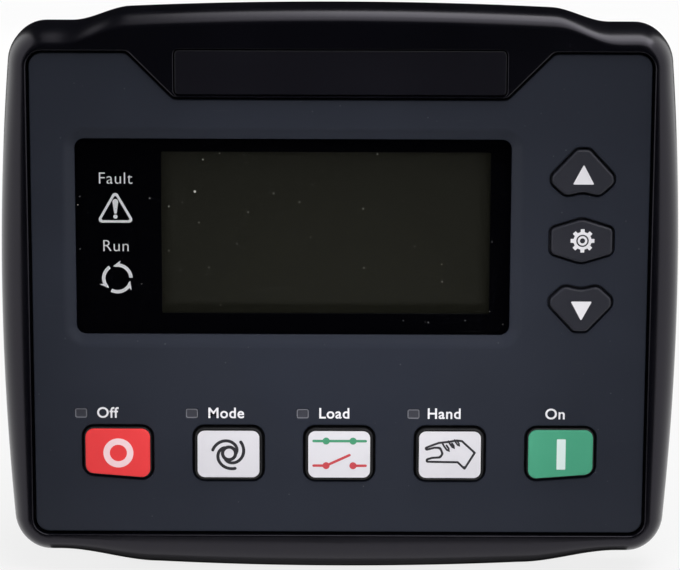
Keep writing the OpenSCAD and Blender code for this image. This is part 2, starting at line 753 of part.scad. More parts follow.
// Rear case: an open box with a spigot, screw tubes, board posts and cut-outs
vent_w = 2;
vent_len = 9;
vent_pitch = 8;
vent_count = 9;
label_w = 62;
label_h = 22;
label_deep = 0.3;
module rear_case() {
    inner_w = case_w - 2 * case_wall;
    inner_h = case_h - 2 * case_wall;
    color("#17171a") difference() {
        union() {
            difference() {
                slab(round_box(case_w, case_h, case_r), bezel_back, case_d);
                slab(round_box(inner_w, inner_h, case_r - 1), bezel_back - 1, wall_y);
            }
            spigot();
            for (p = long_places) rod(tube_d, p, board_back, wall_y + slip);
            for (p = post_places) rod(post_d, p, io_back, wall_y + slip);
        }
        for (p = long_places) {
            rod(long_screw_d + 0.4, p, board_back - 1, case_d + 1);
            rod(sink_d, p, case_d - sink_depth, case_d + 1);
        }
        for (p = post_places) rod(post_screw_d + 2 * screw_play, p, io_back - 1, wall_y - 1);
        for (b = BLOCKS)
            block(block_w(b[0]) + 2 * ample, socket_h + 2 * ample, block_place(b), wall_y - 1, case_d + 1);
        block(usb_w + 2 * ample, usb_h + 2 * ample, usb_place, wall_y - 1, case_d + 1);
        block(label_w, label_h, [0, 0], case_d - label_deep, case_d + 1);
        for (i = [0 : vent_count - 1])
            translate([(i - (vent_count - 1) / 2) * vent_pitch - vent_w / 2, 3, -case_h])
                cube([vent_w, vent_len, 2 * case_h]);
        for (s = [-1, 1], z = [-hook_z, hook_z])
            translate([s * case_w / 2 - case_wall - 1, hook_y - hook_forward - hair, z - hook_h / 2 - hair])
                cube([2 * case_wall + 2, hook_t + hook_forward + 2 * hair, hook_h + 2 * hair]);
    }
}
// Ring that locates the case in the bezel's rear opening
module spigot() {
    difference() {
        slab(round_box(spigot_w, spigot_h, case_r), board_back + ample, bezel_back + case_wall);
        slab(round_box(spigot_w - 2 * spigot_wall, spigot_h - 2 * spigot_wall, case_r - 1),
             board_back, bezel_back + case_wall + 1);
    }
}

// Screws, with slots in their heads
module slotted_screw(d, head, thick, place, tip, seat) {
    difference() {
        union() {
            rod(d, place, tip, seat + slip);
            rod(head, place, seat, seat + thick);
        }
        block(head + 1, screw_slot_w, place, seat + thick - screw_slot_d, seat + thick + 1);
    }
}
module case_screws() {
    color(STEEL) for (p = long_places)
        slotted_screw(long_screw_d, head_d, head_t, p, plate_back + 1, case_d - sink_depth);
}
post_head_d = 3.8;
post_head_t = 1.3;
module board_screws() {
    color(STEEL) for (p = post_places) mirror([0, 1, 0])
        slotted_screw(post_screw_d, post_head_d, post_head_t, p, -(wall_y - 2), -io_y);
}

// Clamp bracket with two hooks in the case's side wall, and the screw that presses on the panel
module clamp_bracket(s) {
    color(BLACK) difference() {
        union() {
            side_block(s, 0, bracket_t, bracket_h, bracket_y, bracket_y + bracket_len, 0);
            side_block(s, bracket_t - slip, arm_reach, arm_h, arm_y, arm_y + arm_t, 0);
            for (z = [-hook_z, hook_z]) {
                side_block(s, -case_wall - hook_lip, slip, hook_h, hook_y, hook_y + hook_t, z);
                side_block(s, -case_wall - hook_lip, -case_wall - hair, hook_h,
                           hook_y - hook_forward, hook_y + slip, z);
            }
        }
        rod(clamp_d + 2 * screw_play, [s * clamp_x, 0], arm_y - 1, arm_y + arm_t + 1);
    }
}
// A block beside the case: from x0 to x1 outside its wall, h high, between two depths
module side_block(s, x0, x1, h, y0, y1, z) {
    block(x1 - x0, h, [s * (case_w / 2 + (x0 + x1) / 2), z], y0, y1);
}
clamp_head_t = 2.6;
module clamp_screw(s) {
    color(STEEL) slotted_screw(clamp_d, 2 * clamp_d - 0.5, clamp_head_t, [s * clamp_x, 0],
                               panel_room, arm_y + arm_t + 8);
}

front_bezel();
face_plate();
name_plate();
display_lens();
lcd_glass();
lcd_backlight();
lcd_frame();
panel_gasket();
for (i = [0:4]) {
    row_key(i);
    plunger(key_place(i));
}
for (i = [0:2]) {
    nav_key(i);
    plunger(nav_place(i));
}
switch_bodies();
for (i = [0:3]) {
    light_pipe(i);
}
indicator_leds();
display_board();
processor();
pin_header();
pin_socket();
io_board();
for (i = [1:4]) {
    relay(i);
    terminal_socket(BLOCKS[i - 1]);
    terminal_plug(BLOCKS[i - 1]);
}
capacitors();
clock_battery();
battery_holder();
terminal_screws();
usb_socket();
rear_case();
case_screws();
board_screws();
clamp_bracket(-1);  // clamp_bracket_left
clamp_bracket(1);  // clamp_bracket_right
clamp_screw(-1);  // clamp_screw_left
clamp_screw(1);  // clamp_screw_right
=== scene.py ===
# %% [markdown]
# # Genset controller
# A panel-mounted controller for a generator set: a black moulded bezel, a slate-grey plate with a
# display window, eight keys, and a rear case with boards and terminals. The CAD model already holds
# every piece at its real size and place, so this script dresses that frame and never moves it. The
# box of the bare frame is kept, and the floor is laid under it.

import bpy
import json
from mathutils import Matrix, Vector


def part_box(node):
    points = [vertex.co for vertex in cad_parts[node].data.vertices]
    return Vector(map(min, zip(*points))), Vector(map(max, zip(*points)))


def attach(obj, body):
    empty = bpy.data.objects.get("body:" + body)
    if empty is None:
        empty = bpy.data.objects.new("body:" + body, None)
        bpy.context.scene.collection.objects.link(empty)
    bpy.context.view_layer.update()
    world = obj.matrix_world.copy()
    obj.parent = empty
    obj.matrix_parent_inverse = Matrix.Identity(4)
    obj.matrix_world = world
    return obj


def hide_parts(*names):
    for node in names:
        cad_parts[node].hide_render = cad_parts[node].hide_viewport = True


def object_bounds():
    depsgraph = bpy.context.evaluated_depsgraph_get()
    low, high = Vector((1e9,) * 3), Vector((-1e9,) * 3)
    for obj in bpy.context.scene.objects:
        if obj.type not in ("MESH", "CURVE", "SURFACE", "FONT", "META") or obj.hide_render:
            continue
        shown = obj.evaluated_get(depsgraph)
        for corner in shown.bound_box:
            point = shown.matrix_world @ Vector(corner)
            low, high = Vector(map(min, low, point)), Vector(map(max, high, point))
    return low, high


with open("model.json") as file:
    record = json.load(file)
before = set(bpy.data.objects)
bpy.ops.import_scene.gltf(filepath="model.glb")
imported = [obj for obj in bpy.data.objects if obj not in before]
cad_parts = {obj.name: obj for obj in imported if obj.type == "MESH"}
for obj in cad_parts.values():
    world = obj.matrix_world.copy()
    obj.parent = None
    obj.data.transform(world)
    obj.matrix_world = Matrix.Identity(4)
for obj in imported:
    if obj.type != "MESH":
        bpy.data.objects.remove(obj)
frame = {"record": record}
cad_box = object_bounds()

# %% [markdown]
# ## Camera
# The photograph was taken from a little above, with a long lens, so the front shows almost no
# perspective. A camera could be placed by eye, but its pitch and focal length were worked out from
# the corners of the plate and the way its sides draw together. Sizes are written in millimetres;
# Blender works in metres.

# %% Camera
import json
from functools import partial
from math import acos, cos, pi, radians, sin, tan

import bmesh
import bpy
from mathutils import Matrix, Vector

MM = 0.001
PHOTO_WIDE = 680
FOCAL_PX = 3080
CAMERA_AT = Vector((0.05, -640.8, 135.9)) * MM
CAMERA_PITCH = 12
CAMERA_ROLL = 0.2

scene = bpy.context.scene
scene.view_settings.view_transform = "Standard"
camera_data = bpy.data.cameras.new("camera")
camera_data.sensor_fit = "HORIZONTAL"
camera_data.lens = camera_data.sensor_width * FOCAL_PX / PHOTO_WIDE
camera = bpy.data.objects.new("camera", camera_data)
camera.matrix_world = (
    Matrix.Translation(CAMERA_AT)
    @ Matrix.Rotation(radians(90 - CAMERA_PITCH), 4, "X")
    @ Matrix.Rotation(radians(CAMERA_ROLL), 4, "Z")
)
scene.collection.objects.link(camera)
scene.camera = camera
print("lens", round(camera_data.lens, 1), "mm")

# %% [markdown]
# ## Material helpers
# Every finish here is made of nodes, so a few small helpers are shared: one turns a hex colour, as
# read off a screen, into the linear values that Blender computes with, one adds a node, and one
# starts a material with the values that are the same all over it. Its colour drifts a little
# between two close ones, because no real surface has a single flat colour.

# %% Material helpers
MIX_A, MIX_B, MIX_COLOUR = 6, 7, 2  # sockets of a Mix node that mixes colours


def colour(code):
    """Linear RGBA of an sRGB hex code."""
    parts = [int(code[i : i + 2], 16) / 255 for i in (1, 3, 5)]
    return [p / 12.92 if p <= 0.04045 else ((p + 0.055) / 1.055) ** 2.4 for p in parts] + [1]


def per_mm(size):
    """Texture scale that gives a pattern of this size in millimetres."""
    return 1 / (size * MM)


def add(tree, kind, inputs, out=0, into=None, **settings):
    """Adds a node and returns one output, which may also be led into a socket.

    inputs pairs each of its sockets with a value or with another node's output.
    """
    node = tree.nodes.new("ShaderNode" + kind)
    for name, value in settings.items():
        setattr(node, name, value)
    for socket, value in inputs.items():
        if isinstance(value, bpy.types.NodeSocket):
            tree.links.new(value, node.inputs[socket])
        else:
            node.inputs[socket].default_value = value
    if into is not None:
        tree.links.new(node.outputs[out], into)
    return node.outputs[out]


def finish(name, values, dark, light, apart, detail=2, stretch=1):
    """Starts a material whose colour drifts between two close ones, so many mm apart."""
    material = bpy.data.materials.new(name)
    material.use_nodes = True
    tree = material.node_tree
    shader = tree.nodes["Principled BSDF"]
    for socket, value in values.items():
        shader.inputs[socket].default_value = value
    place = add(tree, "TexCoord", {}, "Object")
    scale = (per_mm(apart * stretch), per_mm(apart), per_mm(apart))
    lay = add(tree, "Mapping", {"Vector": place, "Scale": scale})
    drift = add(tree, "TexNoise", {"Vector": lay, "Scale": 1, "Detail": detail})
    tones = {0: drift, MIX_A: colour(dark), MIX_B: colour(light)}
    add(tree, "Mix", tones, MIX_COLOUR, shader.inputs["Base Color"], data_type="RGBA")
    return material, tree, shader, place, drift


print("black ABS in linear light:", [round(c, 4) for c in colour("#06060A")])

# %% [markdown]
# ## Studio
# The photograph is a product shot on white: the glossy sides of the bezel mirror white, its top
# edge shows one long highlight, and the glass stays black. A white world gives the first. For the
# second and third, a photographer hangs black card in front of and above the object, with strips of
# light in it. The card here is a half tube around the object, open at its ends, and only mirror
# rays see it. A grey card and a narrow pale one lie under the object, also seen only by mirror
# rays:
# a painted shadow on the floor for its lower edge to mirror, paler where that shadow fades.


# %% World
def shown(tree):
    """1 for rays that end in the eye, straight, mirrored or through glass; 0 for other light."""
    mask = add(tree, "LightPath", {}, "Is Camera Ray")
    rays = mask.node.outputs
    for kind in ("Is Glossy Ray", "Is Transmission Ray"):
        mask = add(tree, "Math", {0: mask, 1: rays[kind]}, operation="MAXIMUM")
    return mask


WORLD_FILL = 0.15
world = bpy.data.worlds.new("white_studio")
scene.world = world
world.use_nodes = True
tree = world.node_tree
background = tree.nodes["Background"].inputs
background["Color"].default_value = (1, 1, 1, 1)
levels = {"Value": shown(tree), "To Min": WORLD_FILL, "To Max": 1.0}
add(tree, "MapRange", levels, into=background["Strength"])
print("world: white when seen,", WORLD_FILL, "as fill light")


# %% Floor
def new_object(name, mesh):
    """Puts a mesh into the scene as an object at the origin."""
    made = bpy.data.objects.new(name, mesh)
    scene.collection.objects.link(made)
    return made


FLOOR_HALF, FLOOR_DROP = 2000, 0.1
PAPER_CLOUD = 40  # spacing of the paper's unevenness in mm
SHEEN = "Specular IOR Level"
MATT = {"Roughness": 1, SHEEN: 0}
GLOW_NEAR, GLOW_FAR = 0.82, 0.97  # share of the floor's brightness that the lamps don't change
GLOW_FROM, GLOW_TO = 120, 450  # where that share starts and ends to rise, in mm from the object
floor_mesh = bpy.data.meshes.new("floor")
corners = [(-1, -1), (1, -1), (1, 1), (-1, 1)]
half, floor_z = FLOOR_HALF * MM, cad_box[0].z - FLOOR_DROP * MM
floor_mesh.from_pydata([(x * half, y * half, floor_z) for x, y in corners], [], [(0, 1, 2, 3)])
floor = new_object("floor", floor_mesh)
# Pale background paper: no gloss, and a cloudiness that is hardly seen.
white_floor, tree, shader, place, _ = finish(
    "pale_paper_floor", MATT, "#D0D0D0", "#D4D4D4", PAPER_CLOUD
)
away = add(tree, "VectorMath", {0: place}, "Value", operation="LENGTH")
reach = {"From Min": GLOW_FROM * MM, "From Max": GLOW_TO * MM}
rise = {"Value": away, **reach, "To Min": GLOW_NEAR, "To Max": GLOW_FAR}
even = add(tree, "MapRange", rise)
share = add(tree, "Math", {0: shown(tree), 1: even}, operation="MULTIPLY")
glow = add(tree, "Emission", {"Color": (1, 1, 1, 1), "Strength": 1})
surface = tree.nodes["Material Output"].inputs["Surface"]
add(tree, "MixShader", {0: share, 1: shader.outputs[0], 2: glow}, into=surface)
floor_mesh.materials.append(white_floor)
print("floor at z", round(floor_z / MM, 2), "mm")

# %% Cards
CARD_R, CARD_HALF = 560, 330
CARD_FROM, CARD_TO, CARD_STEPS = -6, 186, 36  # degrees up from straight in front
CARD_Z = floor_z / MM + 0.05
VELVET_NAP = 6
turns = [CARD_FROM + (CARD_TO - CARD_FROM) * k / CARD_STEPS for k in range(CARD_STEPS + 1)]
bow = [(cos(radians(t)), sin(radians(t))) for t in turns]
CARDS = {
    # name: (two close colours, then half width, y and z of its cross lines)
    # Under the object: painted shadow on the floor, for mirror rays only; the pale strip is where
    # it fades.
    "painted_shadow_card_below": ("#6A6A6A", "#727272", [(62, 45, CARD_Z), (62, -10, CARD_Z)]),
    "painted_shadow_fade_card_below": ("#BCBCBC", "#C4C4C4", [(62, -10, CARD_Z), (62, -13, CARD_Z)]),
    "black_card_around": (
        "#020202",
        "#050505",
        [(85, -37, CARD_Z)] + [(CARD_HALF, -CARD_R * c, CARD_R * s) for c, s in bow],
    ),
}
for name, (dark, light, lines) in CARDS.items():
    points = [(side * half * MM, y * MM, z * MM) for half, y, z in lines for side in (-1, 1)]
    faces = [(k, k + 1, k + 3, k + 2) for k in range(0, len(points) - 2, 2)]
    card_mesh = bpy.data.meshes.new(name)
    card_mesh.from_pydata(points, [], faces)
    card = new_object(name, card_mesh)
    # Velvet card: it mirrors nothing, and its nap gives a slight mottle.
    card_mesh.materials.append(finish(name + "_velvet", MATT, dark, light, VELVET_NAP)[0])
    card.visible_camera = card.visible_diffuse = card.visible_shadow = False
print(len(CARDS), "cards, the largest", 2 * CARD_HALF, "mm wide around the object")

# %% Lamps
LAMPS = {
    # name: (place and point it faces, width and height in mm, power in W, is mirrored, spread)
    "strip_above": ((165, 60, 480), (165, 0, 0), (480, 330), 0.95, True, 180),
    "strip_right": ((197, 60, 478), (197, 0, 0), (415, 330), 0.55, True, 180),
    "strip_edge": ((165, -195, 470), (165, 0, 0), (480, 190), 0.5, True, 180),
    "strip_low": ((165, -320, 395), (165, 0, 0), (480, 107), 0.16, True, 180),
    "softbox_above": ((120, -366, 822), (0, 0, 0), (700, 300), 2.5, False, 180),
    "fill_in_front": ((0, -90, -8), (0, 0, -8), (100, 60), 0.028, False, 115),
    "fill_behind": ((-250, 800, 250), (0, 0, 0), (600, 400), 4.0, False, 180),
}
for name, (at, aim, size, power, mirrored, spread) in LAMPS.items():
    data = bpy.data.lights.new(name, "AREA")
    data.shape = "RECTANGLE"
    data.size, data.size_y = size[0] * MM, size[1] * MM
    data.energy = power
    data.spread = radians(spread)
    lamp = bpy.data.objects.new(name, data)
    lamp.location = Vector(at) * MM
    lamp.rotation_euler = (Vector(aim) - Vector(at)).to_track_quat("-Z", "Y").to_euler()
    lamp.visible_glossy = mirrored
    lamp.visible_transmission = mirrored
    lamp.visible_camera = False
    scene.collection.objects.link(lamp)
print(len(LAMPS), "lamps")

# %% [markdown]
# ## Outlines and skins
# Moulded parts are outlines with rounded corners, pushed in depth and rounded again along their
# edges. Bevel modifiers could round them, but they stumble over the thin steps of a plate with many
# holes, so each piece is built from rings: an outline is drawn at several depths, neighbouring
# rings are joined by faces, and flat areas between rings are filled.

# %% Outline helpers
MIN_R = 0.05  # smallest corner radius


def grown(points, by):
    """Moves each side of a counter-clockwise outline outwards."""
    moved = []
    for i, p in enumerate(points):
        u = (Vector(p) - Vector(points[i - 1])).normalized()
        v = (Vector(points[(i + 1) % len(points)]) - Vector(p)).normalized()
        nu, nv = Vector((u.y, -u.x)), Vector((v.y, -v.x))
        moved.append(Vector(p) + by * (nu + nv) / (1 + nu.dot(nv)))
    return moved


def rounded(points, radii, steps=8):
    """Replaces each corner by an arc, with one radius or one for each corner."""
    made = []
    for i, p in enumerate(points):
        a, b, c = Vector(points[i - 1]), Vector(p), Vector(points[(i + 1) % len(points)])
        u, v = (a - b).normalized(), (c - b).normalized()
        half = acos(max(-1, min(1, u.dot(v)))) / 2
        radius = radii[i] if isinstance(radii, (list, tuple)) else radii
        reach = min(radius / tan(half), 0.49 * min((a - b).length, (c - b).length))
        true_r = reach * tan(half)
        mid = b + (u + v).normalized() * true_r / sin(half)
        start = b + u * reach - mid
        turn = start.angle_signed(b + v * reach - mid)
        made += [mid + Matrix.Rotation(-turn * k / steps, 2) @ start for k in range(steps + 1)]
    return made


def box_outline(w, h, r, at=(0, 0), by=0):
    """Rounded rectangle around a place, grown by a little."""
    w, h = w / 2 + by, h / 2 + by
    x, z = at
    points = [(x - w, z - h), (x + w, z - h), (x + w, z + h), (x - w, z + h)]
    return rounded(points, max(r + by, MIN_R))


def circle(r, at=(0, 0), steps=32):
    """Points of a circle."""
    turns = [2 * pi * k / steps for k in range(steps)]
    return [Vector((at[0] + r * cos(t), at[1] + r * sin(t))) for t in turns]


def shifted(points, at):
    """The same outline at another place."""
    return [Vector(p) + Vector(at) for p in points]


print("a rounded rectangle has", len(box_outline(4, 3, 1)), "points")

# %% Skin helpers
SHARP_FROM = 35  # degrees between two faces at which their edge stays crisp


def ring(bm, points, y):
    """Vertices of an outline at one depth, or with a depth for each point."""
    depths = y if isinstance(y, list) else [y] * len(points)
    return [bm.verts.new((p[0] * MM, d * MM, p[1] * MM)) for p, d in zip(points, depths)]


def loft(bm, rings):
    """Faces between neighbouring rings of equal length."""
    for near, far in zip(rings, rings[1:]):
        for i in range(len(near)):
            j = (i + 1) % len(near)
            bm.faces.new((near[i], near[j], far[j], far[i]))


def fill(bm, *rings):
    """Flat face inside the first ring, with the other rings as holes."""
    edges = []
    for loop in rings:
        for i, vert in enumerate(loop):
            pair = (vert, loop[(i + 1) % len(loop)])
            edges.append(bm.edges.get(pair) or bm.edges.new(pair))
    bmesh.ops.triangle_fill(bm, edges=edges, use_beauty=True)


def tube(bm, points, *depths):
    """Rings of one outline at several depths, joined by faces."""
    rings = [ring(bm, points, y) for y in depths]
    loft(bm, rings)
    return rings


def sleeve(bm, outline, levels):
    """Rings joined by faces; each level has what the outline is called with, and a depth."""
    rings = [ring(bm, outline(by), y) for by, y in levels]
    loft(bm, rings)
    return rings


def eased(y, radius, hole=False, steps=5):
    """Levels that round the front edge of a piece or of a hole: growth and depth."""
    side = 1 if hole else -1
    turns = [pi / 2 * k / steps for k in range(steps + 1)]
    return [(side * radius * (1 - sin(t)), y + radius * (1 - cos(t))) for t in turns]


def piece(name, bm, material, slot, *stands_for, body="controller"):
    """Turns a skin into a smooth object that rides on a body and may stand for CAD nodes."""
    bmesh.ops.recalc_face_normals(bm, faces=bm.faces)
    mesh = bpy.data.meshes.new(name)
    bm.to_mesh(mesh)
    bm.free()
    mesh.shade_smooth()
    mesh.set_sharp_from_angle(angle=radians(SHARP_FROM))
    mesh.materials.append(material)
    made = new_object(name, mesh)
    weigh = made.modifiers.new("even_shading", "WEIGHTED_NORMAL")
    weigh.keep_sharp = True
    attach(made, body)
    if stands_for:
        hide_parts(*stands_for)
    return made


def node_mm(name):
    """Lowest and highest corner of a CAD node, in millimetres."""
    low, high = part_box(name)
    return low / MM, high / MM


print("helpers ready")

# %% [markdown]
# ## Moulded plastic
# Bezel, plate, keys and case are injection-moulded. What the eye reads as moulded plastic is a
# satin gloss that is never quite even, a colour that drifts a little over some millimetres, and the
# fine grain of the mould. One function makes them all from two close colours, a roughness and the
# size of the grain.

# %% Moulded plastic
PLASTIC_IOR = 1.53  # typical of ABS
DRIFT = 14  # spacing of the drift in colour and gloss in mm
GLOSS_DRIFT, RELIEF = 0.05, 0.6


def moulded(name, dark, light, rough, grain, depth, values=None):
    """Moulded plastic; grain is the spacing and depth the height of the mould's texture, in mm."""
    values = {"IOR": PLASTIC_IOR, **(values or {})}
    material, tree, shader, place, drift = finish(name, values, dark, light, DRIFT, detail=3)
    ends = {"Value": drift, "To Min": rough - GLOSS_DRIFT, "To Max": rough + GLOSS_DRIFT}
    add(tree, "MapRange", ends, into=shader.inputs["Roughness"])
    etched = {"Vector": place, "Scale": per_mm(grain), "Detail": 2}
    texture = add(tree, "TexNoise", etched)
    bump = {"Height": texture, "Strength": RELIEF, "Distance": depth * MM}
    add(tree, "Bump", bump, into=shader.inputs["Normal"])
    return material


# Satin black ABS from a lightly etched mould: deep black, soft long highlights with a cool tint.
# The real grain is about 0.1 mm and is drawn at 0.35 mm, so that it shows.
cool_sheen = {SHEEN: 0.42, "Specular Tint": colour("#F4EFFF")}
satin_black_abs = moulded(
    "satin_black_abs_etched", "#06060A", "#0A0A10", 0.25, 0.35, 0.003, cool_sheen
)
print("first finish:", satin_black_abs.name)

# %% [markdown]
# ## Bezel
# The front frame is one moulding: a rounded rim with a raised middle along its top, a gentler bulge
# below and bowed sides. The CAD solid has the same form in coarse facets. A subdivision surface
# would pull the corners in, so the rim is worked out again from the same formulas, with many more
# points, and the inner edge gets the small rounding that catches a line of light all around the
# plate.

# %% Rim formulas
CROWN = {"rise": 3.0, "dome": 1.0, "half": 58.0, "slope": 13.0}
BELLY = {"rise": 2.9, "dome": 1.0, "half": 61.5, "slope": 21.5}
SIDE_BOW = 2.6
FRONT_Y, BACK_Y = node_mm("front_bezel")[0].y, node_mm("front_bezel")[1].y
ROUND_D, TOP_DEEP, CROWN_TIGHT = 7.0, 3.0, 4.5


def shoulder(x, half, slope):
    """1 on an edge's raised middle and 0 beside it, with an eased step between."""
    t = min(max((half - abs(x)) / slope, 0), 1)
    return t * t * (3 - 2 * t)


def swell(x, rise, dome, half, slope):
    """Height of an edge's raised middle: an eased shoulder with a low dome on it."""
    return rise * shoulder(x, half, slope) + dome * max(0, 1 - (x / (half - slope)) ** 2)


def rim_ring(w, top, bottom, r, bow, up, down, arc=14, side=24, edge=110):
    """Outline of the rim with its bowed sides and raised middles."""
    corners = [(w - r, top - r), (r - w, top - r), (r - w, r - bottom), (w - r, r - bottom)]
    points = []
    for k, mid in enumerate(corners):
        turns = [radians(90 * k + 90 * i / arc) for i in range(arc + 1)]
        points += [Vector(mid) + r * Vector((cos(t), sin(t))) for t in turns]
        last, following = points[-1], Vector(corners[(k + 1) % 4])
        turn = radians(90 * (k + 1))
        goal = following + r * Vector((cos(turn), sin(turn)))
        count = side if k % 2 else edge
        points += [last.lerp(goal, i / count) for i in range(1, count)]
    bent = []
    for p in points:
        share = p.y / top if p.y > 0 else -p.y / bottom
        rise = up * swell(p.x, **CROWN) if p.y > 0 else -down * swell(p.x, **BELLY)
        bent.append(Vector((p.x * (1 - bow * share * share), p.y + share * rise)))
    return bent


def round_depth(p):
    """Depth of the rim's rounding: deeper along the top edge, but not along its raised middle."""
    tight = CROWN_TIGHT * shoulder(p.x, CROWN["half"], CROWN["slope"])
    return ROUND_D + (max(p.y, 0) / RIM_TOP) ** 2 * (TOP_DEEP - tight)


RIM_W, RIM_TOP, RIM_BOTTOM, RIM_R = 71.0, 56.3, 56.1, 7.4
FLAT_W, FLAT_H, FLAT_R = 65.5, 52.4, 4.2
FLAT_BOW, FLAT_UP, FLAT_DOWN = 0.15, 1.15, 0.2  # how far the flat front follows the rim
outer_rim = rim_ring(RIM_W, RIM_TOP, RIM_BOTTOM, RIM_R, SIDE_BOW / RIM_W, 1, 1)
flat_bow = FLAT_BOW * SIDE_BOW / FLAT_W
flat_rim = rim_ring(FLAT_W, FLAT_H, FLAT_H, FLAT_R, flat_bow, FLAT_UP, FLAT_DOWN)
print("rim with", len(outer_rim), "points in each ring")

# %% Plate outline
PLATE_W, PLATE_H, PLATE_R = 128.2, 102.0, 2.8
TAB_DROP, TAB_W, TAB_R, TAB_FLANK = 9.6, 69.0, 1.8, 45  # the flanks slope by 45 degrees
GROOVE = 0.5
PLATE_Y, PLATE_BACK = FRONT_Y + 0.8, FRONT_Y + 2.4


def plate_outline(by):
    """The plate with the notch for the bezel's tab, grown by a little."""
    w, h = PLATE_W / 2 + by, PLATE_H / 2 + by
    foot = h - TAB_DROP
    half = TAB_W / 2 - by * tan(radians(TAB_FLANK / 2))
    points = [(-w, -h), (w, -h), (w, h), (half + TAB_DROP, h), (half, foot), (-half, foot)]
    points += [(-half - TAB_DROP, h), (-w, h)]
    r = PLATE_R + by
    return rounded(points, [r, r, r, TAB_R, TAB_R, TAB_R, TAB_R, r])


print("plate outline with", len(plate_outline(0)), "points")

# %% Bezel
RIM_STEPS, LIP_STEPS = 18, 7
LIP_R, SINK_R = 0.42, 0.2
LEDGE_W = 2.5
NAME_W, NAME_H, NAME_R, NAME_AT, NAME_SPACE = 68.4, 9.4, 1.0, (0, 47.1), 0.15
NAME_FLOOR = FRONT_Y + 0.8
HOLLOW, OPENING = (131.2, 105.0, 4), (112.6, 86.4, 3)  # width, height and corner radius
HOLLOW_FRONT, HOLLOW_BACK = -10.1, -3.0


def name_outline(by):
    """The name plate, grown by a little."""
    return box_outline(NAME_W, NAME_H, NAME_R, NAME_AT, by)


bm = bmesh.new()
rim = []
for k in range(RIM_STEPS + 1):
    turn = pi / 2 * k / RIM_STEPS
    outline = [a.lerp(b, sin(turn)) for a, b in zip(flat_rim, outer_rim)]
    depths = [FRONT_Y + round_depth(p) * (1 - cos(turn)) for p in outer_rim]
    rim.append(ring(bm, outline, depths))
rim.append(ring(bm, outer_rim, BACK_Y))
loft(bm, rim)
lip_levels = eased(FRONT_Y, LIP_R, hole=True, steps=LIP_STEPS) + [(0, PLATE_BACK)]
lip = sleeve(bm, lambda by: plate_outline(GROOVE + by), lip_levels)
sink_levels = eased(FRONT_Y, SINK_R, hole=True) + [(0, NAME_FLOOR)]
sink = sleeve(bm, lambda by: name_outline(by + NAME_SPACE), sink_levels)
ledge = tube(bm, plate_outline(-LEDGE_W), PLATE_BACK, HOLLOW_FRONT)
hollow = tube(bm, box_outline(*HOLLOW), HOLLOW_FRONT, HOLLOW_BACK)
opening = tube(bm, box_outline(*OPENING), HOLLOW_BACK, BACK_Y)
fill(bm, rim[0], lip[0], sink[0])
fill(bm, sink[-1])
fill(bm, lip[-1], ledge[0])
fill(bm, hollow[0], ledge[1])
fill(bm, hollow[1], opening[0])
fill(bm, rim[-1], opening[1])
bezel = piece("bezel_shell", bm, satin_black_abs, "bezel_abs", "front_bezel")
print("bezel:", len(bezel.data.polygons), "faces")

# %% [markdown]
# ## Key and window outlines
# The keys sit in holes of the plate with an even gap, so plate and keys share their outlines: five
# softened rectangles in a row, two arrows and a hexagon. The middle of each key comes from its
# switch plunger, which the CAD model puts right behind it.

# %% Key and window outlines
KEY_W, KEY_H, KEY_R, KEY_SLOPE = 15.2, 12.3, 2.6, 1.2
NAV_W, NAV_H, MENU_H = 13.7, 10.6, 10.2
MENU_FLAT, MENU_RADII = 0.58, [4, 1.6, 1.6, 4, 1.6, 1.6]
# An arrow key, in shares of its half width and half height, with the depth of the dent in its foot.
FOOT, TIP, SIDE_LOW, SIDE_HIGH, DENT = 0.53, 0.22, 0.45, 0.08, 0.9
ARROW_RADII = [2.4, 5, 2.4, 1.9, 1.9, 1.6, 1.6, 1.9, 1.9]
ROW_KEYS = ["off", "mode", "load", "hand", "on"]
NAV_KEYS = ["up", "menu", "down"]
KEYS, LAMP_KEYS, WHITE_KEYS = ROW_KEYS + NAV_KEYS, ROW_KEYS[:4], ROW_KEYS[1:4]


def node_middle(name):
    """Middle of a CAD node seen from the front, as x and z in millimetres."""
    low, high = node_mm(name)
    return Vector(((low.x + high.x) / 2, (low.z + high.z) / 2))


def key_middle(key):
    """Middle of a key, from the plunger behind it."""
    return node_middle("plunger_" + key)


def key_outline(key, by):
    """Hole of a key in the plate, grown by a little."""
    w, h = KEY_W / 2, KEY_H / 2
    points = [(-w, -h), (w, -h), (w, h), (-w, h)]
    radii = [KEY_R] * 4
    if key == "off":
        points[0] = (-w, KEY_SLOPE - h)
    if key == "on":
        points[1] = (w, KEY_SLOPE - h)
    if key == "menu":
        w, h, radii = NAV_W / 2, MENU_H / 2, MENU_RADII
        flat = MENU_FLAT * h
        points = [(0, -h), (w, -flat), (w, flat), (0, h), (-w, flat), (-w, -flat)]
    if key in ("up", "down"):
        w, h, radii = NAV_W / 2, NAV_H / 2, ARROW_RADII
        low, high = -SIDE_LOW * h, -SIDE_HIGH * h
        points = [(-FOOT * w, -h), (0, DENT - h), (FOOT * w, -h), (w, low), (w, high)]
        points += [(TIP * w, h), (-TIP * w, h), (-w, high), (-w, low)]
    if key == "down":
        points = [(x, -z) for x, z in reversed(points)]
        radii = radii[::-1]
    return shifted(rounded(grown(points, by), [r + by for r in radii]), key_middle(key))


print({key: [round(c, 1) for c in key_middle(key)] for key in KEYS})

# %% [markdown]
# ## Face plate
# The plate is moulded in slate grey with a fine matt texture, and years of wiping have left dust in
# it and a few hairline scratches. Specks are the cores of a cell pattern; stretching the same
# pattern along one direction turns the cores into scratches.

# %% Dust and scratches
SPECK_CORE = 0.6  # share of a speck that is fully covered
PLATE_WEAR = [
    # (spacing and size in mm, share of the cells, turn in degrees, stretch), how much it covers
    ((2.6, 0.34, 0.55), 0.2),
    ((1.1, 0.16, 0.5, 24, 40), 0.03),
    ((1.3, 0.16, 0.5, -38, 30), 0.03),
]


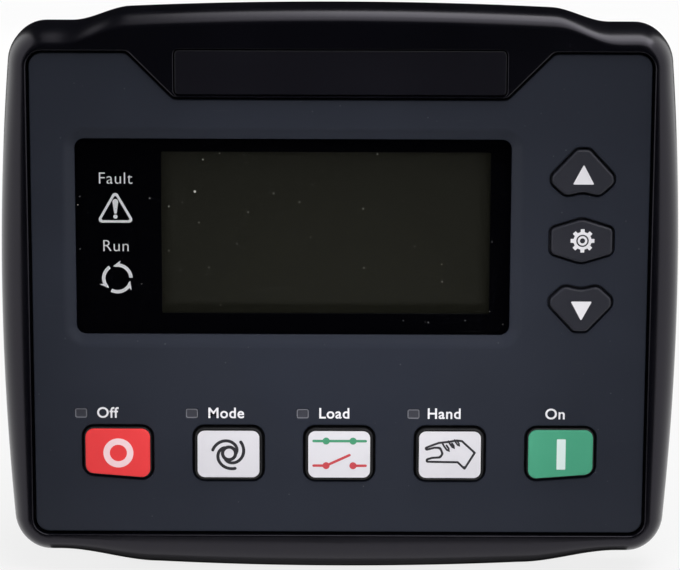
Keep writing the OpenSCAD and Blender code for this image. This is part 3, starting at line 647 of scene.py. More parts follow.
def specks(tree, place, apart, size, share, turn=0, stretch=1):
    """Mask of specks in a share of the cells, or of scratches if stretched; sizes in mm."""
    scale = (per_mm(apart * stretch), per_mm(apart), per_mm(apart))
    turned = {"Vector": place, "Rotation": (0, radians(turn), 0), "Scale": scale}
    lay = add(tree, "Mapping", turned)
    away = add(tree, "TexVoronoi", {"Vector": lay, "Scale": 1}, "Distance")
    edge = size / apart / 2
    fade = {"From Min": edge * SPECK_CORE, "From Max": edge, "To Min": 1, "To Max": 0}
    mask = add(tree, "MapRange", {"Value": away, **fade})
    draw = add(tree, "SeparateColor", {"Color": away.node.outputs["Color"]})
    chance = add(tree, "MapRange", {"Value": draw, "From Min": 1 - share, "From Max": 1})
    return add(tree, "Math", {0: mask, 1: chance}, operation="MULTIPLY")


def overlaid(tree, shader, mask, tint):
    """Lays another colour over the shader's own where a mask is 1."""
    base = shader.inputs["Base Color"]
    layers = {0: mask, MIX_A: base.links[0].from_socket, MIX_B: colour(tint)}
    add(tree, "Mix", layers, MIX_COLOUR, base, data_type="RGBA")


def opened(material):
    """Tree, shader and place of a finish that is made already."""
    tree = material.node_tree
    place = tree.nodes["Texture Coordinate"].outputs["Object"]
    return tree, tree.nodes["Principled BSDF"], place


# Slate-grey ABS with a matt spark texture: it scatters light evenly and shows no clear reflection.
matt_slate_abs = moulded(
    "matt_slate_abs_spark_eroded", "#1E222D", "#232733", 0.58, 0.4, 0.006, {SHEEN: 0.34}
)
tree, shader, place = opened(matt_slate_abs)
for sizes, amount in PLATE_WEAR:
    mask = specks(tree, place, *sizes)
    thin = add(tree, "Math", {0: mask, 1: amount}, operation="MULTIPLY")
    overlaid(tree, shader, thin, "#B8B8B4")
print("plate finish with", len(tree.nodes), "nodes")

# %% Face plate
LAMP_W, LAMP_H, LAMP_R = 2.6, 2.1, 0.5
WINDOW_W, WINDOW_H, WINDOW_R, WINDOW_AT = 90.5, 41.4, 2.0, (-9.75, 12.3)
SLOPE_W, SLOPE_DROP, SLOPE_STEPS = 2.5, 1.1, 8
LEDGE_LIP, LIP_DROP, LIP_TURNS = 0.35, 0.5, (30, 60, 90)
BOSSES = [(51.0, 37.9), (-51.0, 37.9), (34.95, -38.1), (-34.95, -38.1)]
BOSS_D, SCREW_D = 5.5, 3.1
BOSS_BACK, SCREW_FRONT = -4.5, -11.0
PLATE_ROUND, HOLE_ROUND, LAMP_ROUND = 0.3, 0.22, 0.25


def lamp_outline(key, by):
    """Hole of the lamp window over a key, grown by a little."""
    return box_outline(LAMP_W, LAMP_H, LAMP_R, node_middle("light_pipe_" + key), by)


def window_outline(by):
    """The display window, grown by a little."""
    return box_outline(WINDOW_W, WINDOW_H, WINDOW_R, WINDOW_AT, by)


slope = []  # the bevel around the window: curved at first, then straight, with a rounded lip
for k in range(SLOPE_STEPS + 1):
    t = k / SLOPE_STEPS
    drop = SLOPE_DROP * (t * t if t < 0.5 else t - 0.25) / 0.75
    slope.append((SLOPE_W * (1 - t) + LEDGE_LIP, PLATE_Y + drop))
for turn in LIP_TURNS:
    t = radians(turn)
    slope.append((LEDGE_LIP * (1 - sin(t)), PLATE_BACK - LIP_DROP * cos(t)))
holes = [(partial(key_outline, key), HOLE_ROUND) for key in KEYS]
holes += [(partial(lamp_outline, key), LAMP_ROUND) for key in LAMP_KEYS]

bm = bmesh.new()
walls = [sleeve(bm, plate_outline, eased(PLATE_Y, PLATE_ROUND) + [(0, PLATE_BACK)])]
walls.append(sleeve(bm, window_outline, slope))
for outline, radius in holes:
    walls.append(sleeve(bm, outline, eased(PLATE_Y, radius, hole=True) + [(0, PLATE_BACK)]))
backs = [wall[-1] for wall in walls]
for at in BOSSES:
    boss = tube(bm, circle(BOSS_D / 2, at), PLATE_BACK, BOSS_BACK)
    bore = tube(bm, circle(SCREW_D / 2, at), BOSS_BACK, SCREW_FRONT)
    fill(bm, boss[1], bore[0])
    fill(bm, bore[1])
    backs.append(boss[0])
fill(bm, *[wall[0] for wall in walls])
fill(bm, *backs)
plate = piece("plate_shell", bm, matt_slate_abs, "plate_abs", "face_plate")
print("plate:", len(plate.data.polygons), "faces")

# %% [markdown]
# ## Name plate
# A bare strip of film lies in a shallow recess of the tab. It is a little lighter than the bezel,
# and the narrow groove around it draws its outline.

# %% Name plate
NAME_Y, NAME_ROUND = FRONT_Y + 0.05, 0.15
# Polyester film with a fine satin print: slightly greyer than the ABS around it.
satin_film = moulded("satin_polyester_film", "#0C0B12", "#100F18", 0.36, 0.5, 0.002)
bm = bmesh.new()
strip_levels = eased(NAME_Y, NAME_ROUND, steps=3) + [(0, NAME_FLOOR)]
strip = sleeve(bm, lambda by: name_outline(by - NAME_SPACE), strip_levels)
fill(bm, strip[0])
fill(bm, strip[-1])
piece("name_strip", bm, satin_film, "name_film", "name_plate")
print("name plate", NAME_W, "by", NAME_H, "mm")

# %% [markdown]
# ## Display window
# The lens is a sheet of clear acrylic, printed black from behind except where the display shows. It
# is made as a real sheet with a real print behind it, because then the display lies deep in the
# window and the edge of the print throws its own shadow. Dust on the lens shows much more than on
# the plate, so its largest grains are small pieces of their own.

# %% Lens finish
LENS_DUST, LENS_SCRATCHES = (2.7, 0.32, 0.5), (1.2, 0.14, 0.4, 15, 40)  # as in PLATE_WEAR
SCRATCH_SHOWS = 0.04
CLEAR, SOILED = (1.0, 0.02), (0.4, 0.6)  # transmission and roughness without and with dust

# Cast acrylic, polished: clear, with a crisp reflection; dust and fine scratches dull it in places.
polish = {"IOR": 1.49, "Roughness": CLEAR[1], "Transmission Weight": CLEAR[0]}
clear_acrylic, tree, shader, place, _ = finish(
    "clear_acrylic_polished", polish, "#FFFFFF", "#FFFFFF", DRIFT
)
dust = specks(tree, place, *LENS_DUST)
wear = specks(tree, place, *LENS_SCRATCHES)
faint = add(tree, "Math", {0: wear, 1: SCRATCH_SHOWS}, operation="MULTIPLY")
soiled = add(tree, "Math", {0: dust, 1: faint}, operation="MAXIMUM")
overlaid(tree, shader, soiled, "#6A6A62")
for socket, start, stop in zip(("Transmission Weight", "Roughness"), CLEAR, SOILED):
    ends = {"Value": soiled, "To Min": start, "To Max": stop}
    add(tree, "MapRange", ends, into=shader.inputs[socket])
print("lens finish with", len(tree.nodes), "nodes")

# %% Lens and print
LENS_LAP, LENS_BACK = 1.5, -10.1
LENS_PRINT_LAP = 1.3
LENS_PRINT = (LENS_BACK + 0.05, LENS_BACK + 0.09)  # front and back of the ink
VIEW_W, VIEW_H, VIEW_R, VIEW_AT = 68.5, 34.3, 0.4, (-2.95, 12.95)


def slab(bm, outlines, front, back):
    """Thin plate between two depths; the first outline is its edge and the others are holes."""
    near = [ring(bm, outline, front) for outline in outlines]
    far = [ring(bm, outline, back) for outline in outlines]
    for a, b in zip(near, far):
        loft(bm, [a, b])
    fill(bm, *near)
    fill(bm, *far)


bm = bmesh.new()
slab(bm, [window_outline(LENS_LAP)], PLATE_BACK, LENS_BACK)
lens = piece("lens_sheet", bm, clear_acrylic, "lens_acrylic", "display_lens")
lens.visible_shadow = False

# Screen-printed black ink: opaque and almost without gloss behind the acrylic.
black_ink = moulded("black_screen_print", "#010103", "#020204", 0.5, 0.3, 0.001, {SHEEN: 0.05})
view = box_outline(VIEW_W, VIEW_H, VIEW_R, VIEW_AT)
bm = bmesh.new()
slab(bm, [window_outline(LENS_PRINT_LAP), view], *LENS_PRINT)
piece("lens_print", bm, black_ink, "lens_acrylic")
print("window opening", VIEW_W, "by", VIEW_H, "mm")

# %% Dust on the lens
# Grey lint: single grains, lighter than anything else on the glass.
grey_lint = moulded("grey_lint_dust", "#A9A9A2", "#B7B7B0", 0.9, 0.2, 0.02)
GRAINS = [(-30.15, 21.87, 0.55), (-28.43, 28.62, 0.3), (-35.57, 18.75, 0.28), (-29.32, 15.34, 0.22)]
GRAINS += [(-54.47, 19.0, 0.26), (-21.47, 10.9, 0.2), (-35.63, 9.38, 0.2), (-39.52, 20.42, 0.24)]
GRAIN_SIDES, GRAIN_TOP, GRAIN_TALL = 7, 0.5, 0.06
grain_levels = [(1, PLATE_BACK), (GRAIN_TOP, PLATE_BACK - GRAIN_TALL)]
bm = bmesh.new()
for x, z, size in GRAINS:
    grain = sleeve(bm, lambda share: circle(size * share / 2, (x, z), GRAIN_SIDES), grain_levels)
    fill(bm, grain[1])
piece("lens_dust", bm, grey_lint, "lens_acrylic")
print(len(GRAINS), "grains of dust")

# %% [markdown]
# ## Keys
# The keys stand a little proud of the plate. Red and green ones are a black cap with a coloured
# face on it, and the white ones are black caps with a white printed field. The black is partly the
# caps' dark moulding and partly painted shade for their sides in the gap, which is why the faces
# seem to float in a black ring. Each cap has a softly rounded edge, a flange behind the plate that
# keeps it in, and a stem that pushes its switch. Caps end a hair behind the CAD front, so that the
# printed symbols on them still lie inside the model's box.

# %% Key finishes
# ABS moulded in colour, lightly matt from handling: even colour and a soft sheen along the edges.
red_abs = moulded("red_abs_moulded", "#F03539", "#F63B3F", 0.45, 0.5, 0.004)
green_abs = moulded("green_abs_moulded", "#409E7B", "#49A784", 0.45, 0.5, 0.004)
grey_abs = moulded("dark_grey_abs_moulded", "#22232C", "#272831", 0.5, 0.5, 0.004)
# Pad-printed white lacquer: chalky, with a slight mottle where the ink lay thinner.
white_lacquer = moulded("white_pad_print", "#D6D4DA", "#DEDCE2", 0.5, 0.6, 0.003)
# The row's caps: dark moulding, deepened to black as painted shade for their sides in the gap.
black_cap_and_painted_shade = moulded("black_abs_key_base_painted_shade", "#0A0A0D", "#0F0F12", 0.55, 0.5, 0.004)
KEY_FACE = {"off": red_abs, "on": green_abs}
KEY_SLOT = {"off": "key_red", "mode": "key_white", "load": "key_white", "hand": "key_white"}
KEY_SLOT |= {"on": "key_green", "up": "key_grey", "menu": "key_grey", "down": "key_grey"}
print("key finishes:", red_abs.name, green_abs.name, grey_abs.name, black_cap_and_painted_shade.name)

# %% Key caps
PRINT_T = 0.04
CAP_Y = FRONT_Y + PRINT_T
CAP_ROUND, CAP_STEPS = 0.5, 7
FACE_T, FACE_ROUND, FACE_INSET = 0.45, 0.25, 0.3
KEY_SPACE, KEY_LIP = 0.5, 0.7
FLANGE_Y, FLANGE_BACK, STEM_BACK, STEM_D = -11.5, -10.5, -9.5, 4.0

for key in KEYS:
    bm = bmesh.new()
    front = CAP_Y + FACE_T if key in KEY_FACE else CAP_Y
    cap_levels = eased(front, CAP_ROUND, steps=CAP_STEPS) + [(0, FLANGE_Y)]
    cap = sleeve(bm, lambda by: key_outline(key, by - KEY_SPACE), cap_levels)
    flange = tube(bm, key_outline(key, KEY_LIP), FLANGE_Y, FLANGE_BACK)
    stem = tube(bm, circle(STEM_D / 2, key_middle(key)), FLANGE_BACK, STEM_BACK)
    fill(bm, cap[0])
    fill(bm, flange[0], cap[-1])
    fill(bm, flange[1], stem[0])
    fill(bm, stem[1])
    base = grey_abs if key in NAV_KEYS else black_cap_and_painted_shade
    piece("cap_" + key, bm, base, KEY_SLOT[key], "key_" + key, body=key + "_key")
inset = KEY_SPACE + FACE_INSET
face_levels = eased(CAP_Y, FACE_ROUND) + [(0, CAP_Y + FACE_T)]
for key, material in KEY_FACE.items():
    bm = bmesh.new()
    face = sleeve(bm, lambda by: key_outline(key, by - inset), face_levels)
    fill(bm, face[0])
    fill(bm, face[-1])
    piece("face_" + key, bm, material, KEY_SLOT[key], body=key + "_key")
print(len(KEYS), "key caps,", len(KEY_FACE), "coloured faces")

# %% Printed fields
FIELD_INSET, FIELD_T = 0.6, PRINT_T / 2
for key in WHITE_KEYS:
    bm = bmesh.new()
    slab(bm, [key_outline(key, -KEY_SPACE - FIELD_INSET)], CAP_Y - FIELD_T, CAP_Y)
    piece("field_" + key, bm, white_lacquer, KEY_SLOT[key], body=key + "_key")
print("white fields on", WHITE_KEYS)

# %% [markdown]
# ## Lamp windows
# Four small windows over the keys are the ends of light pipes. They are moulded in smoky
# polycarbonate and frosted, and their ends are dished, so they look like lighter squares in the
# plate. The thin bright edge around each is a paler ring, a painted highlight.

# %% Light pipes
# Smoke-tinted polycarbonate with a frosted face: some light goes in, and the surface stays soft.
smoky_polycarbonate = moulded("smoky_polycarbonate_frosted", "#373841", "#3F404A", 0.4, 0.3, 0.003)
# A paler ring of the same plastic: painted highlight where the window's edge catches the light.
highlight_ring_plastic = moulded("painted_highlight_polycarbonate_edge", "#686972", "#72737C", 0.5, 0.3, 0.003)
PIPE_W, PIPE_H, PIPE_R = 2.5, 2.0, 0.45
PIPE_FRONT, PIPE_BACK = -13.0, -5.6
COLLAR_FRONT, COLLAR_BACK, COLLAR_W = -11.6, -10.8, 0.35
PIPE_DISH = ((-0.32, 0.22), (-0.06, 0), (0, 0.06))  # growth of the outline, and its depth
# Width and depths of the paler ring, the painted highlight on the window's edge.
HIGHLIGHT_RING_W, HIGHLIGHT_RING_Y = 0.2, (PIPE_FRONT - 0.02, PIPE_FRONT + 0.2)
pipe_levels = [(by, PIPE_FRONT + y) for by, y in PIPE_DISH] + [(0, COLLAR_FRONT)]
for key in LAMP_KEYS:
    outline = partial(box_outline, PIPE_W, PIPE_H, PIPE_R, node_middle("light_pipe_" + key))
    bm = bmesh.new()
    pipe = sleeve(bm, outline, pipe_levels)
    collar = tube(bm, outline(COLLAR_W), COLLAR_FRONT, COLLAR_BACK)
    tail = tube(bm, outline(0), COLLAR_BACK, PIPE_BACK)
    fill(bm, pipe[0])
    fill(bm, collar[0], pipe[-1])
    fill(bm, collar[1], tail[0])
    fill(bm, tail[1])
    piece("pipe_" + key, bm, smoky_polycarbonate, "lamp_clear", "light_pipe_" + key)
    # A paler ring around the window's face: painted highlight of its edge.
    bm = bmesh.new()
    slab(bm, [outline(0), outline(-HIGHLIGHT_RING_W)], *HIGHLIGHT_RING_Y)
    piece("pipe_highlight_ring_" + key, bm, highlight_ring_plastic, "lamp_clear")
print(len(LAMP_KEYS), "light pipes")

# %% [markdown]
# ## Printed words and symbols
# The legends are pad-printed, a few hundredths of a millimetre thick. Flat images would be easy,
# but geometry stays sharp at any distance: words come from Blender's own font, and symbols from
# outlines and from ribbons, which are lines of a set width. Keys carry their symbols with them when
# they are pressed.

# %% Ink and ribbons
# Pad-printing inks: matt, with a faint mottle. White is slightly off-white, and takes on a little
# of the red or green under it.
INK = (0.5, 0.4, 0.002)  # roughness, then spacing and height of the mottle in mm
white_ink = moulded("white_pad_ink", "#E6E4E9", "#EFEDF2", *INK)
dark_ink = moulded("dark_pad_ink", "#26252A", "#2D2C31", *INK)
green_ink = moulded("green_pad_ink", "#3C9069", "#459972", *INK)
red_ink = moulded("red_pad_ink", "#BF3A43", "#C8434B", *INK)
rose_ink = moulded("white_ink_on_red", "#FBD6DC", "#FFDEE2", *INK)
mint_ink = moulded("white_ink_on_green", "#DAEBE8", "#E2F2EE", *INK)


def ribbon(points, width, steps=6):
    """Outline of a line of a set width with round ends."""
    points = [Vector(p) for p in points]
    left, right = [], []
    for i, p in enumerate(points):
        u = (p - points[i - 1]).normalized() if i else (points[1] - p).normalized()
        v = (points[i + 1] - p).normalized() if i + 1 < len(points) else u
        side = Vector((-u.y - v.y, u.x + v.x)).normalized()
        reach = width / 2 / max(0.5, side.dot(Vector((-u.y, u.x))))
        left.append(p + side * reach)
        right.append(p - side * reach)

    def end(at, start):
        turns = [-pi * k / steps for k in range(1, steps)]
        return [at + Matrix.Rotation(-t, 2) @ (start - at) for t in turns]

    return right + end(points[-1], right[-1]) + left[::-1] + end(points[0], left[0])


def arc(r, start, stop, at=(0, 0), steps=24):
    """Points of an arc between two angles in degrees."""
    turns = [radians(start + (stop - start) * k / max(steps, 1)) for k in range(steps + 1)]
    return [Vector((at[0] + r * cos(t), at[1] + r * sin(t))) for t in turns]


print("inks ready")

# %% Words
CAPITAL = 0.69  # height of the built-in font's capitals, as a share of its size
LETTER_SPACE, CURVE_STEPS = 1.07, 6
WELD = 0.0001  # points closer than this become one, in mm


def lettering(bm, text, at, height, y, weight, align="LEFT", rear=False):
    """Adds a word to a skin: at is where its baseline starts, height that of its capitals."""
    data = bpy.data.curves.new(text, "FONT")
    data.body = text
    data.align_x = align
    data.size = height * MM / CAPITAL
    data.offset = weight * MM
    data.space_character = LETTER_SPACE
    data.extrude = PRINT_T / 2 * MM
    data.resolution_u = CURVE_STEPS
    source = bpy.data.objects.new(text, data)
    mesh = bpy.data.meshes.new_from_object(source)
    out = PRINT_T / 2 if rear else -PRINT_T / 2
    turn = Matrix.Rotation(pi if rear else 0, 4, "Z") @ Matrix.Rotation(pi / 2, 4, "X")
    mesh.transform(Matrix.Translation(Vector((at[0], y + out, at[1])) * MM) @ turn)
    bm.from_mesh(mesh)
    bmesh.ops.remove_doubles(bm, verts=bm.verts, dist=WELD * MM)
    bpy.data.objects.remove(source)
    bpy.data.curves.remove(data)
    bpy.data.meshes.remove(mesh)


LABEL_Z, LABEL_H, LABEL_WEIGHT = -26.15, 2.2, 0.05
# Where each word starts, from its key's middle.
LABELS = {"off": -4.4, "mode": -4.4, "load": -4.4, "hand": -4.9, "on": -3.4}
for key, start in LABELS.items():
    bm = bmesh.new()
    at = (key_middle(key).x + start, LABEL_Z)
    lettering(bm, key.capitalize(), at, LABEL_H, PLATE_Y, LABEL_WEIGHT)
    label = piece("label_" + key, bm, white_ink, "plate_abs")
    print(key, [round(d / MM, 2) for d in label.dimensions])

# %% [markdown]
# Behind the lens, to the left of the display, two symbols say what went wrong and that the engine
# runs. They are printed on the back of the acrylic, just in front of the black.

# %% Lens legends
# White ink behind acrylic: whiter than the ink on the plate, because the sheet in front dims it.
lens_ink = moulded("grey_white_screen_print", "#F4F4F6", "#FAFAFC", 0.6, 0.4, 0.001)
LENS_INK_Y = LENS_BACK + 0.04
LENS_INK = (LENS_INK_Y - PRINT_T, LENS_INK_Y)
ICON_X, LEGEND_H, LEGEND_WEIGHT = -46.75, 2.4, -0.02
for text, z in (("Fault", 23.3), ("Run", 9.0)):
    bm = bmesh.new()
    lettering(bm, text, (ICON_X, z), LEGEND_H, LENS_INK_Y, LEGEND_WEIGHT, "CENTER")
    piece("legend_" + text.lower(), bm, lens_ink, "lens_acrylic")

# A triangle drawn as a line, with a tapered mark and a dot in it; x counts from ICON_X.
SIGN, SIGN_LINE = [(-4.0, 15.05), (4.0, 15.05), (0, 22.05)], 0.52
MARK, MARK_R = [(-0.26, 16.95), (0.26, 16.95), (0.68, 20.05), (-0.68, 20.05)], [0.2, 0.2, 0.6, 0.6]
frame_line = [rounded(SIGN, 0.7), rounded(grown(SIGN, -SIGN_LINE), 0.3)]
bm = bmesh.new()
for loops in (frame_line, [rounded(MARK, MARK_R)], [circle(0.45, (0, 16.33), 20)]):
    slab(bm, [shifted(loop, (ICON_X, 0)) for loop in loops], *LENS_INK)
piece("sign_fault", bm, lens_ink, "lens_acrylic")

# Three bent arrows: an outer arc, the corner and tip of the head as radius and turn, an inner arc.
TURN_AT, TURN_R, TURN_W = (ICON_X + 0.25, 3.2), 2.85, 0.72
HEAD = ((TURN_R + 1.05, 76), (TURN_R - 0.1, 106))
bm = bmesh.new()
for start in (3, 123, 243):
    arrow = arc(TURN_R + TURN_W / 2, start, start + 78, TURN_AT)
    for r, turn in HEAD:
        arrow += arc(r, start + turn, start + turn, TURN_AT, 0)
    arrow += arc(TURN_R - TURN_W / 2, start + 96, start, TURN_AT)
    slab(bm, [arrow], *LENS_INK)
piece("sign_run", bm, lens_ink, "lens_acrylic")
print("two signs behind the lens")

# %% [markdown]
# Symbols on the keys: a ring for off, a turning wheel for the mode, a changeover switch for the
# load, a hand for running by hand, a bar for on, triangles for the arrows and a gear for the menu.

# %% Key symbols
SYMBOL_SHIFT = Vector((0.12, 0.15))
SYMBOL_FRONT = CAP_Y - PRINT_T + 0.001
LAYER_STEP = 0.002  # outlines that cross lie this far behind each other, in mm


def symbol(name, key, outlines, ink, lift=0):
    """Prints outlines, drawn in mm around the key's middle, on a key's cap."""
    bm = bmesh.new()
    middle = key_middle(key) + SYMBOL_SHIFT
    for k, loops in enumerate(outlines):
        front = SYMBOL_FRONT + k * LAYER_STEP
        slab(bm, [shifted(loop, middle) for loop in loops], front, CAP_Y - lift)
    return piece(name, bm, ink, KEY_SLOT[key], body=key + "_key")


symbol("symbol_off", "off", [[circle(r, steps=48) for r in (3.16, 1.8)]], rose_ink)
symbol("symbol_on", "on", [[box_outline(1.86, 6.6, 0.15)]], mint_ink)

# A hub with three blades that wind outwards from it.
BLADE_STEPS, BLADE_SWEEP, BLADE_LINE = 30, 170, 0.66
wheel = [[circle(r, steps=36) for r in (1.72, 1.02)]]
for end in (168, 45, 291):
    points = []
    for k in range(BLADE_STEPS + 1):
        share = k / BLADE_STEPS
        t = radians(end - BLADE_SWEEP + BLADE_SWEEP * share)
        points.append((1.4 + 2.1 * share**0.85) * Vector((cos(t), sin(t))))
    wheel.append([ribbon(points, BLADE_LINE)])
symbol("symbol_mode", "mode", wheel, dark_ink, FIELD_T)

# Two lines with contacts: the upper one is closed, and the lower one has an open blade.
LINE_W, LINE_FROM, LINE_TO, CONTACTS = 0.55, -5.5, 5.45, (-2.87, 2.8)
MAINS_Z, GENSET_Z, OPEN_TIP = 2.75, -2.6, (2.05, -0.3)
near, far = [(x, GENSET_Z) for x in CONTACTS]
mains = [[(LINE_FROM, MAINS_Z), (LINE_TO, MAINS_Z)]]
genset = [[(LINE_FROM, GENSET_Z), near], [far, (LINE_TO, GENSET_Z)], [near, OPEN_TIP]]
HALVES = {"mains": (MAINS_Z, mains, green_ink), "genset": (GENSET_Z, genset, red_ink)}
for name, (z, lines, ink) in HALVES.items():
    drawn = [[ribbon(line, LINE_W)] for line in lines]
    drawn += [[circle(0.76, (x, z), 24)] for x in CONTACTS]
    symbol("symbol_load_" + name, "load", drawn, ink, FIELD_T)

# Index finger, knuckles, wrist, thumb and the hollow between them, then three bent fingers.
palm = [(-5.55, 1.45), (-4.1, 2.05), (-2.5, 2.65), (-0.3, 2.9), (1.2, 3.2), (2.5, 3.05)]
palm += [(5.4, 0.35), (3.05, -3.55), (1.45, -2.0), (-5.2, -1.9), (-5.2, -1.0), (-3.9, -0.6)]
palm += [(-2.3, -0.5), (-1.9, 0.1), (-2.35, 1.15), (-3.4, 1.15), (-5.2, 0.65)]
palm = palm[::-1]
soft = [0.45, 0.9, 0.7, 0.7, 0.8, 0.9, 0.5, 0.5, 0.1, 0.3, 0.25, 0.4, 0.8, 0.6, 0.8, 0.5, 0.45]
PALM_LINE, FINGER_LINE, HAND_STEPS = 0.46, 0.4, 4
CURL = [(0, 0), (0.45, -0.8), (1.05, -1.6), (1.45, -1.75), (1.4, -1.25), (0.95, -0.6)]
hand = [[rounded(edge, soft, HAND_STEPS) for edge in (palm, grown(palm, -PALM_LINE))]]
for x, z, size in ((-1.8, 2.5, 1), (-0.45, 2.8, 0.8), (0.85, 3.05, 0.65)):
    curl = [(x + size * a, z + size * b) for a, b in CURL]
    hand.append([ribbon(curl, FINGER_LINE, HAND_STEPS)])
symbol("symbol_hand", "hand", hand, dark_ink, FIELD_T)

ARROWS = {"up": [(-2.2, -2.5), (2.2, -2.5), (0, 1.65)]}
ARROWS["down"] = [(0, -2.65), (2.2, 1.45), (-2.2, 1.45)]
for key, corners in ARROWS.items():
    symbol("symbol_" + key, key, [[rounded(corners, 0.15, 3)]], white_ink)
TEETH, TOOTH = 8, ((-13, 1.9), (-9, 2.5), (9, 2.5), (13, 1.9))  # turn in degrees and radius
gear = []
for k in range(TEETH):
    for turn, r in TOOTH:
        t = radians(360 * k / TEETH + turn)
        gear.append((r * cos(t), r * sin(t)))
symbol("symbol_menu", "menu", [[gear, circle(1.3)], [circle(1.0), circle(0.54)]], white_ink)
print("symbols on", len(KEYS), "keys")

# %% [markdown]
# ## Inside and rear
# The other CAD nodes have the right shape already. They keep their meshes and get finishes, and a
# bevel modifier breaks their edges, because no moulded or stamped edge is perfectly sharp.

# %% Metal finish
STREAK_LONG, METAL_DRIFT = 12, 0.08


def metal(name, dark, light, rough, streak):
    """Plated or rolled metal with fine streaks across it; streak is their spacing in mm."""
    material, tree, shader, _, lines = finish(
        name, {"Metallic": 1}, dark, light, streak, detail=3, stretch=STREAK_LONG
    )
    ends = {"Value": lines, "To Min": rough - METAL_DRIFT, "To Max": rough + METAL_DRIFT}
    add(tree, "MapRange", ends, into=shader.inputs["Roughness"])
    return material


def box_mask(tree, place, middle, half, soft):
    """1 inside an upright rectangle and 0 outside it; its edges fade over soft, all in mm."""
    axes = add(tree, "SeparateXYZ", {"Vector": place}).node.outputs
    sides = []
    for axis, mid, reach, fade in zip("XZ", middle, half, soft):
        off = add(tree, "Math", {0: axes[axis], 1: mid * MM}, operation="SUBTRACT")
        away = add(tree, "Math", {0: off}, operation="ABSOLUTE")
        edge = {"From Min": (reach - fade) * MM, "From Max": (reach + fade) * MM}
        ends = {"Value": away, **edge, "To Min": 1, "To Max": 0}
        sides.append(add(tree, "MapRange", ends))
    return add(tree, "Math", {0: sides[0], 1: sides[1]}, operation="MINIMUM")


PLASTICS = {
    # slot: (name, two close colours, roughness, spacing and height of the grain in mm)
    # Coarse spark texture on the case, so that fingerprints don't show.
    "case_abs": ("black_abs_spark_eroded", "#141417", "#1A1A1D", 0.55, 0.5, 0.02),
    # Glass-filled nylon: greyer and duller than ABS, with a rougher skin.
    "bracket_nylon": ("black_glass_filled_nylon", "#18181A", "#202022", 0.6, 0.8, 0.012),
    # Foam rubber: no shine, and an uneven skin over its cells.
    "gasket_foam": ("black_closed_cell_foam", "#161616", "#202020", 0.9, 0.7, 0.05),
    # Polyamide: saturated green and slightly waxy, or a dull black.
    "terminal_nylon": ("green_polyamide_moulded", "#2F8A4C", "#3A9657", 0.42, 0.5, 0.005),
    "switch_nylon": ("black_nylon_moulded", "#222225", "#2A2A2D", 0.5, 0.5, 0.004),
    # Polyester boxes of relays: clean blue with a soft shine.
    "relay_shell": ("blue_polyester_shell", "#1E6AA8", "#2674B2", 0.4, 0.5, 0.003),
    # Lacquered glass laminate: glossy green over the faint weave.
    "board_laminate": ("green_solder_mask", "#174E30", "#215F3D", 0.3, 1.2, 0.02),
    # Epoxy of chips: black, matt and very fine.
    "chip_epoxy": ("black_moulded_epoxy", "#1A1A1C", "#212123", 0.55, 0.3, 0.004),
    # Shrunk vinyl: dark blue, smooth and rather glossy.
    "can_sleeve": ("navy_vinyl_sleeve", "#232842", "#2B3050", 0.35, 0.8, 0.004),
    # Cast resin and acrylic: pale, smooth and shiny.
    "led_resin": ("clear_epoxy_resin", "#EDE6C6", "#F4EFD6", 0.2, 0.6, 0.002),
    "light_guide": ("white_acrylic_guide", "#DDE2CC", "#E8ECD8", 0.3, 0.6, 0.002),
    # A display that is off: dark olive under smooth glass, with dots 0.52 mm apart.
    "display_cell": ("dark_olive_display_glass", "#14140F", "#181813", 0.25, 0.52, 0.001),
}
METALS = {
    # slot: (name, two close colours, roughness, spacing of the streaks in mm)
    # Blackened steel is dull, nickel is bright and warm, zinc is bluish, and tin is pale and soft.
    "display_frame": ("blackened_sheet_steel", "#3A3A3C", "#4A4A4C", 0.5, 0.3),
    "cell_steel": ("nickel_plated_steel", "#B9B9BA", "#C9C9CA", 0.3, 0.3),
    "screw_steel": ("zinc_plated_steel", "#A9ACB0", "#BCBFC3", 0.38, 0.25),
    "usb_tinplate": ("tin_plated_sheet", "#B0B1B3", "#C2C3C5", 0.34, 0.3),
}
PATCHES = {
    # slot: (middle, half size and fading edge in x and z, colour)
    # The dots of the display are a little lighter than its border.
    "display_cell": ((-3.2, 13.9), (33.0, 16.0), (1.4, 0.6), "#22221D"),
    # The data socket has a pale tongue.
    "usb_tinplate": ((47.8, 27.9), (2.9, 1.7), (0.05, 0.05), "#E8E8E4"),
}
REAR_FINISH = {slot: moulded(*row) for slot, row in PLASTICS.items()}
REAR_FINISH |= {slot: metal(*row) for slot, row in METALS.items()}
for slot, (middle, half, soft, tint) in PATCHES.items():
    tree, shader, place = opened(REAR_FINISH[slot])
    overlaid(tree, shader, box_mask(tree, place, middle, half, soft), tint)
print(len(REAR_FINISH), "finishes for the inside and rear")

# %% Dress the CAD nodes
EDGE_SOFT = 0.2
SOFTEN = {"rear_case": 0.5, "panel_gasket": 0.25, "usb_socket": 0.15}  # in mm, where it differs
FLAT_TO, BREAK_FROM = radians(1), radians(40)
DRESS = [
    ("join", "WELD", {"merge_threshold": 0.001 * MM}),
    ("flat_faces", "DECIMATE", {"decimate_type": "DISSOLVE", "angle_limit": FLAT_TO}),
    ("broken_edges", "BEVEL", {"segments": 2, "limit_method": "ANGLE", "angle_limit": BREAK_FROM}),
    ("even_shading", "WEIGHTED_NORMAL", {}),
]
dressed = 0
for sub in frame["record"]["subparts"]:
    material = REAR_FINISH.get(sub["material_slot"])
    node = bpy.data.objects.get(sub["node"])
    if material is None or node is None:
        continue
    node.data.materials.clear()
    node.data.materials.append(material)
    for name, kind, settings in DRESS:
        modifier = node.modifiers.new(name, kind)
        for key, value in settings.items():
            setattr(modifier, key, value)
    node.modifiers["broken_edges"].width = SOFTEN.get(sub["node"], EDGE_SOFT) * MM
    dressed += 1
print(dressed, "CAD nodes dressed")

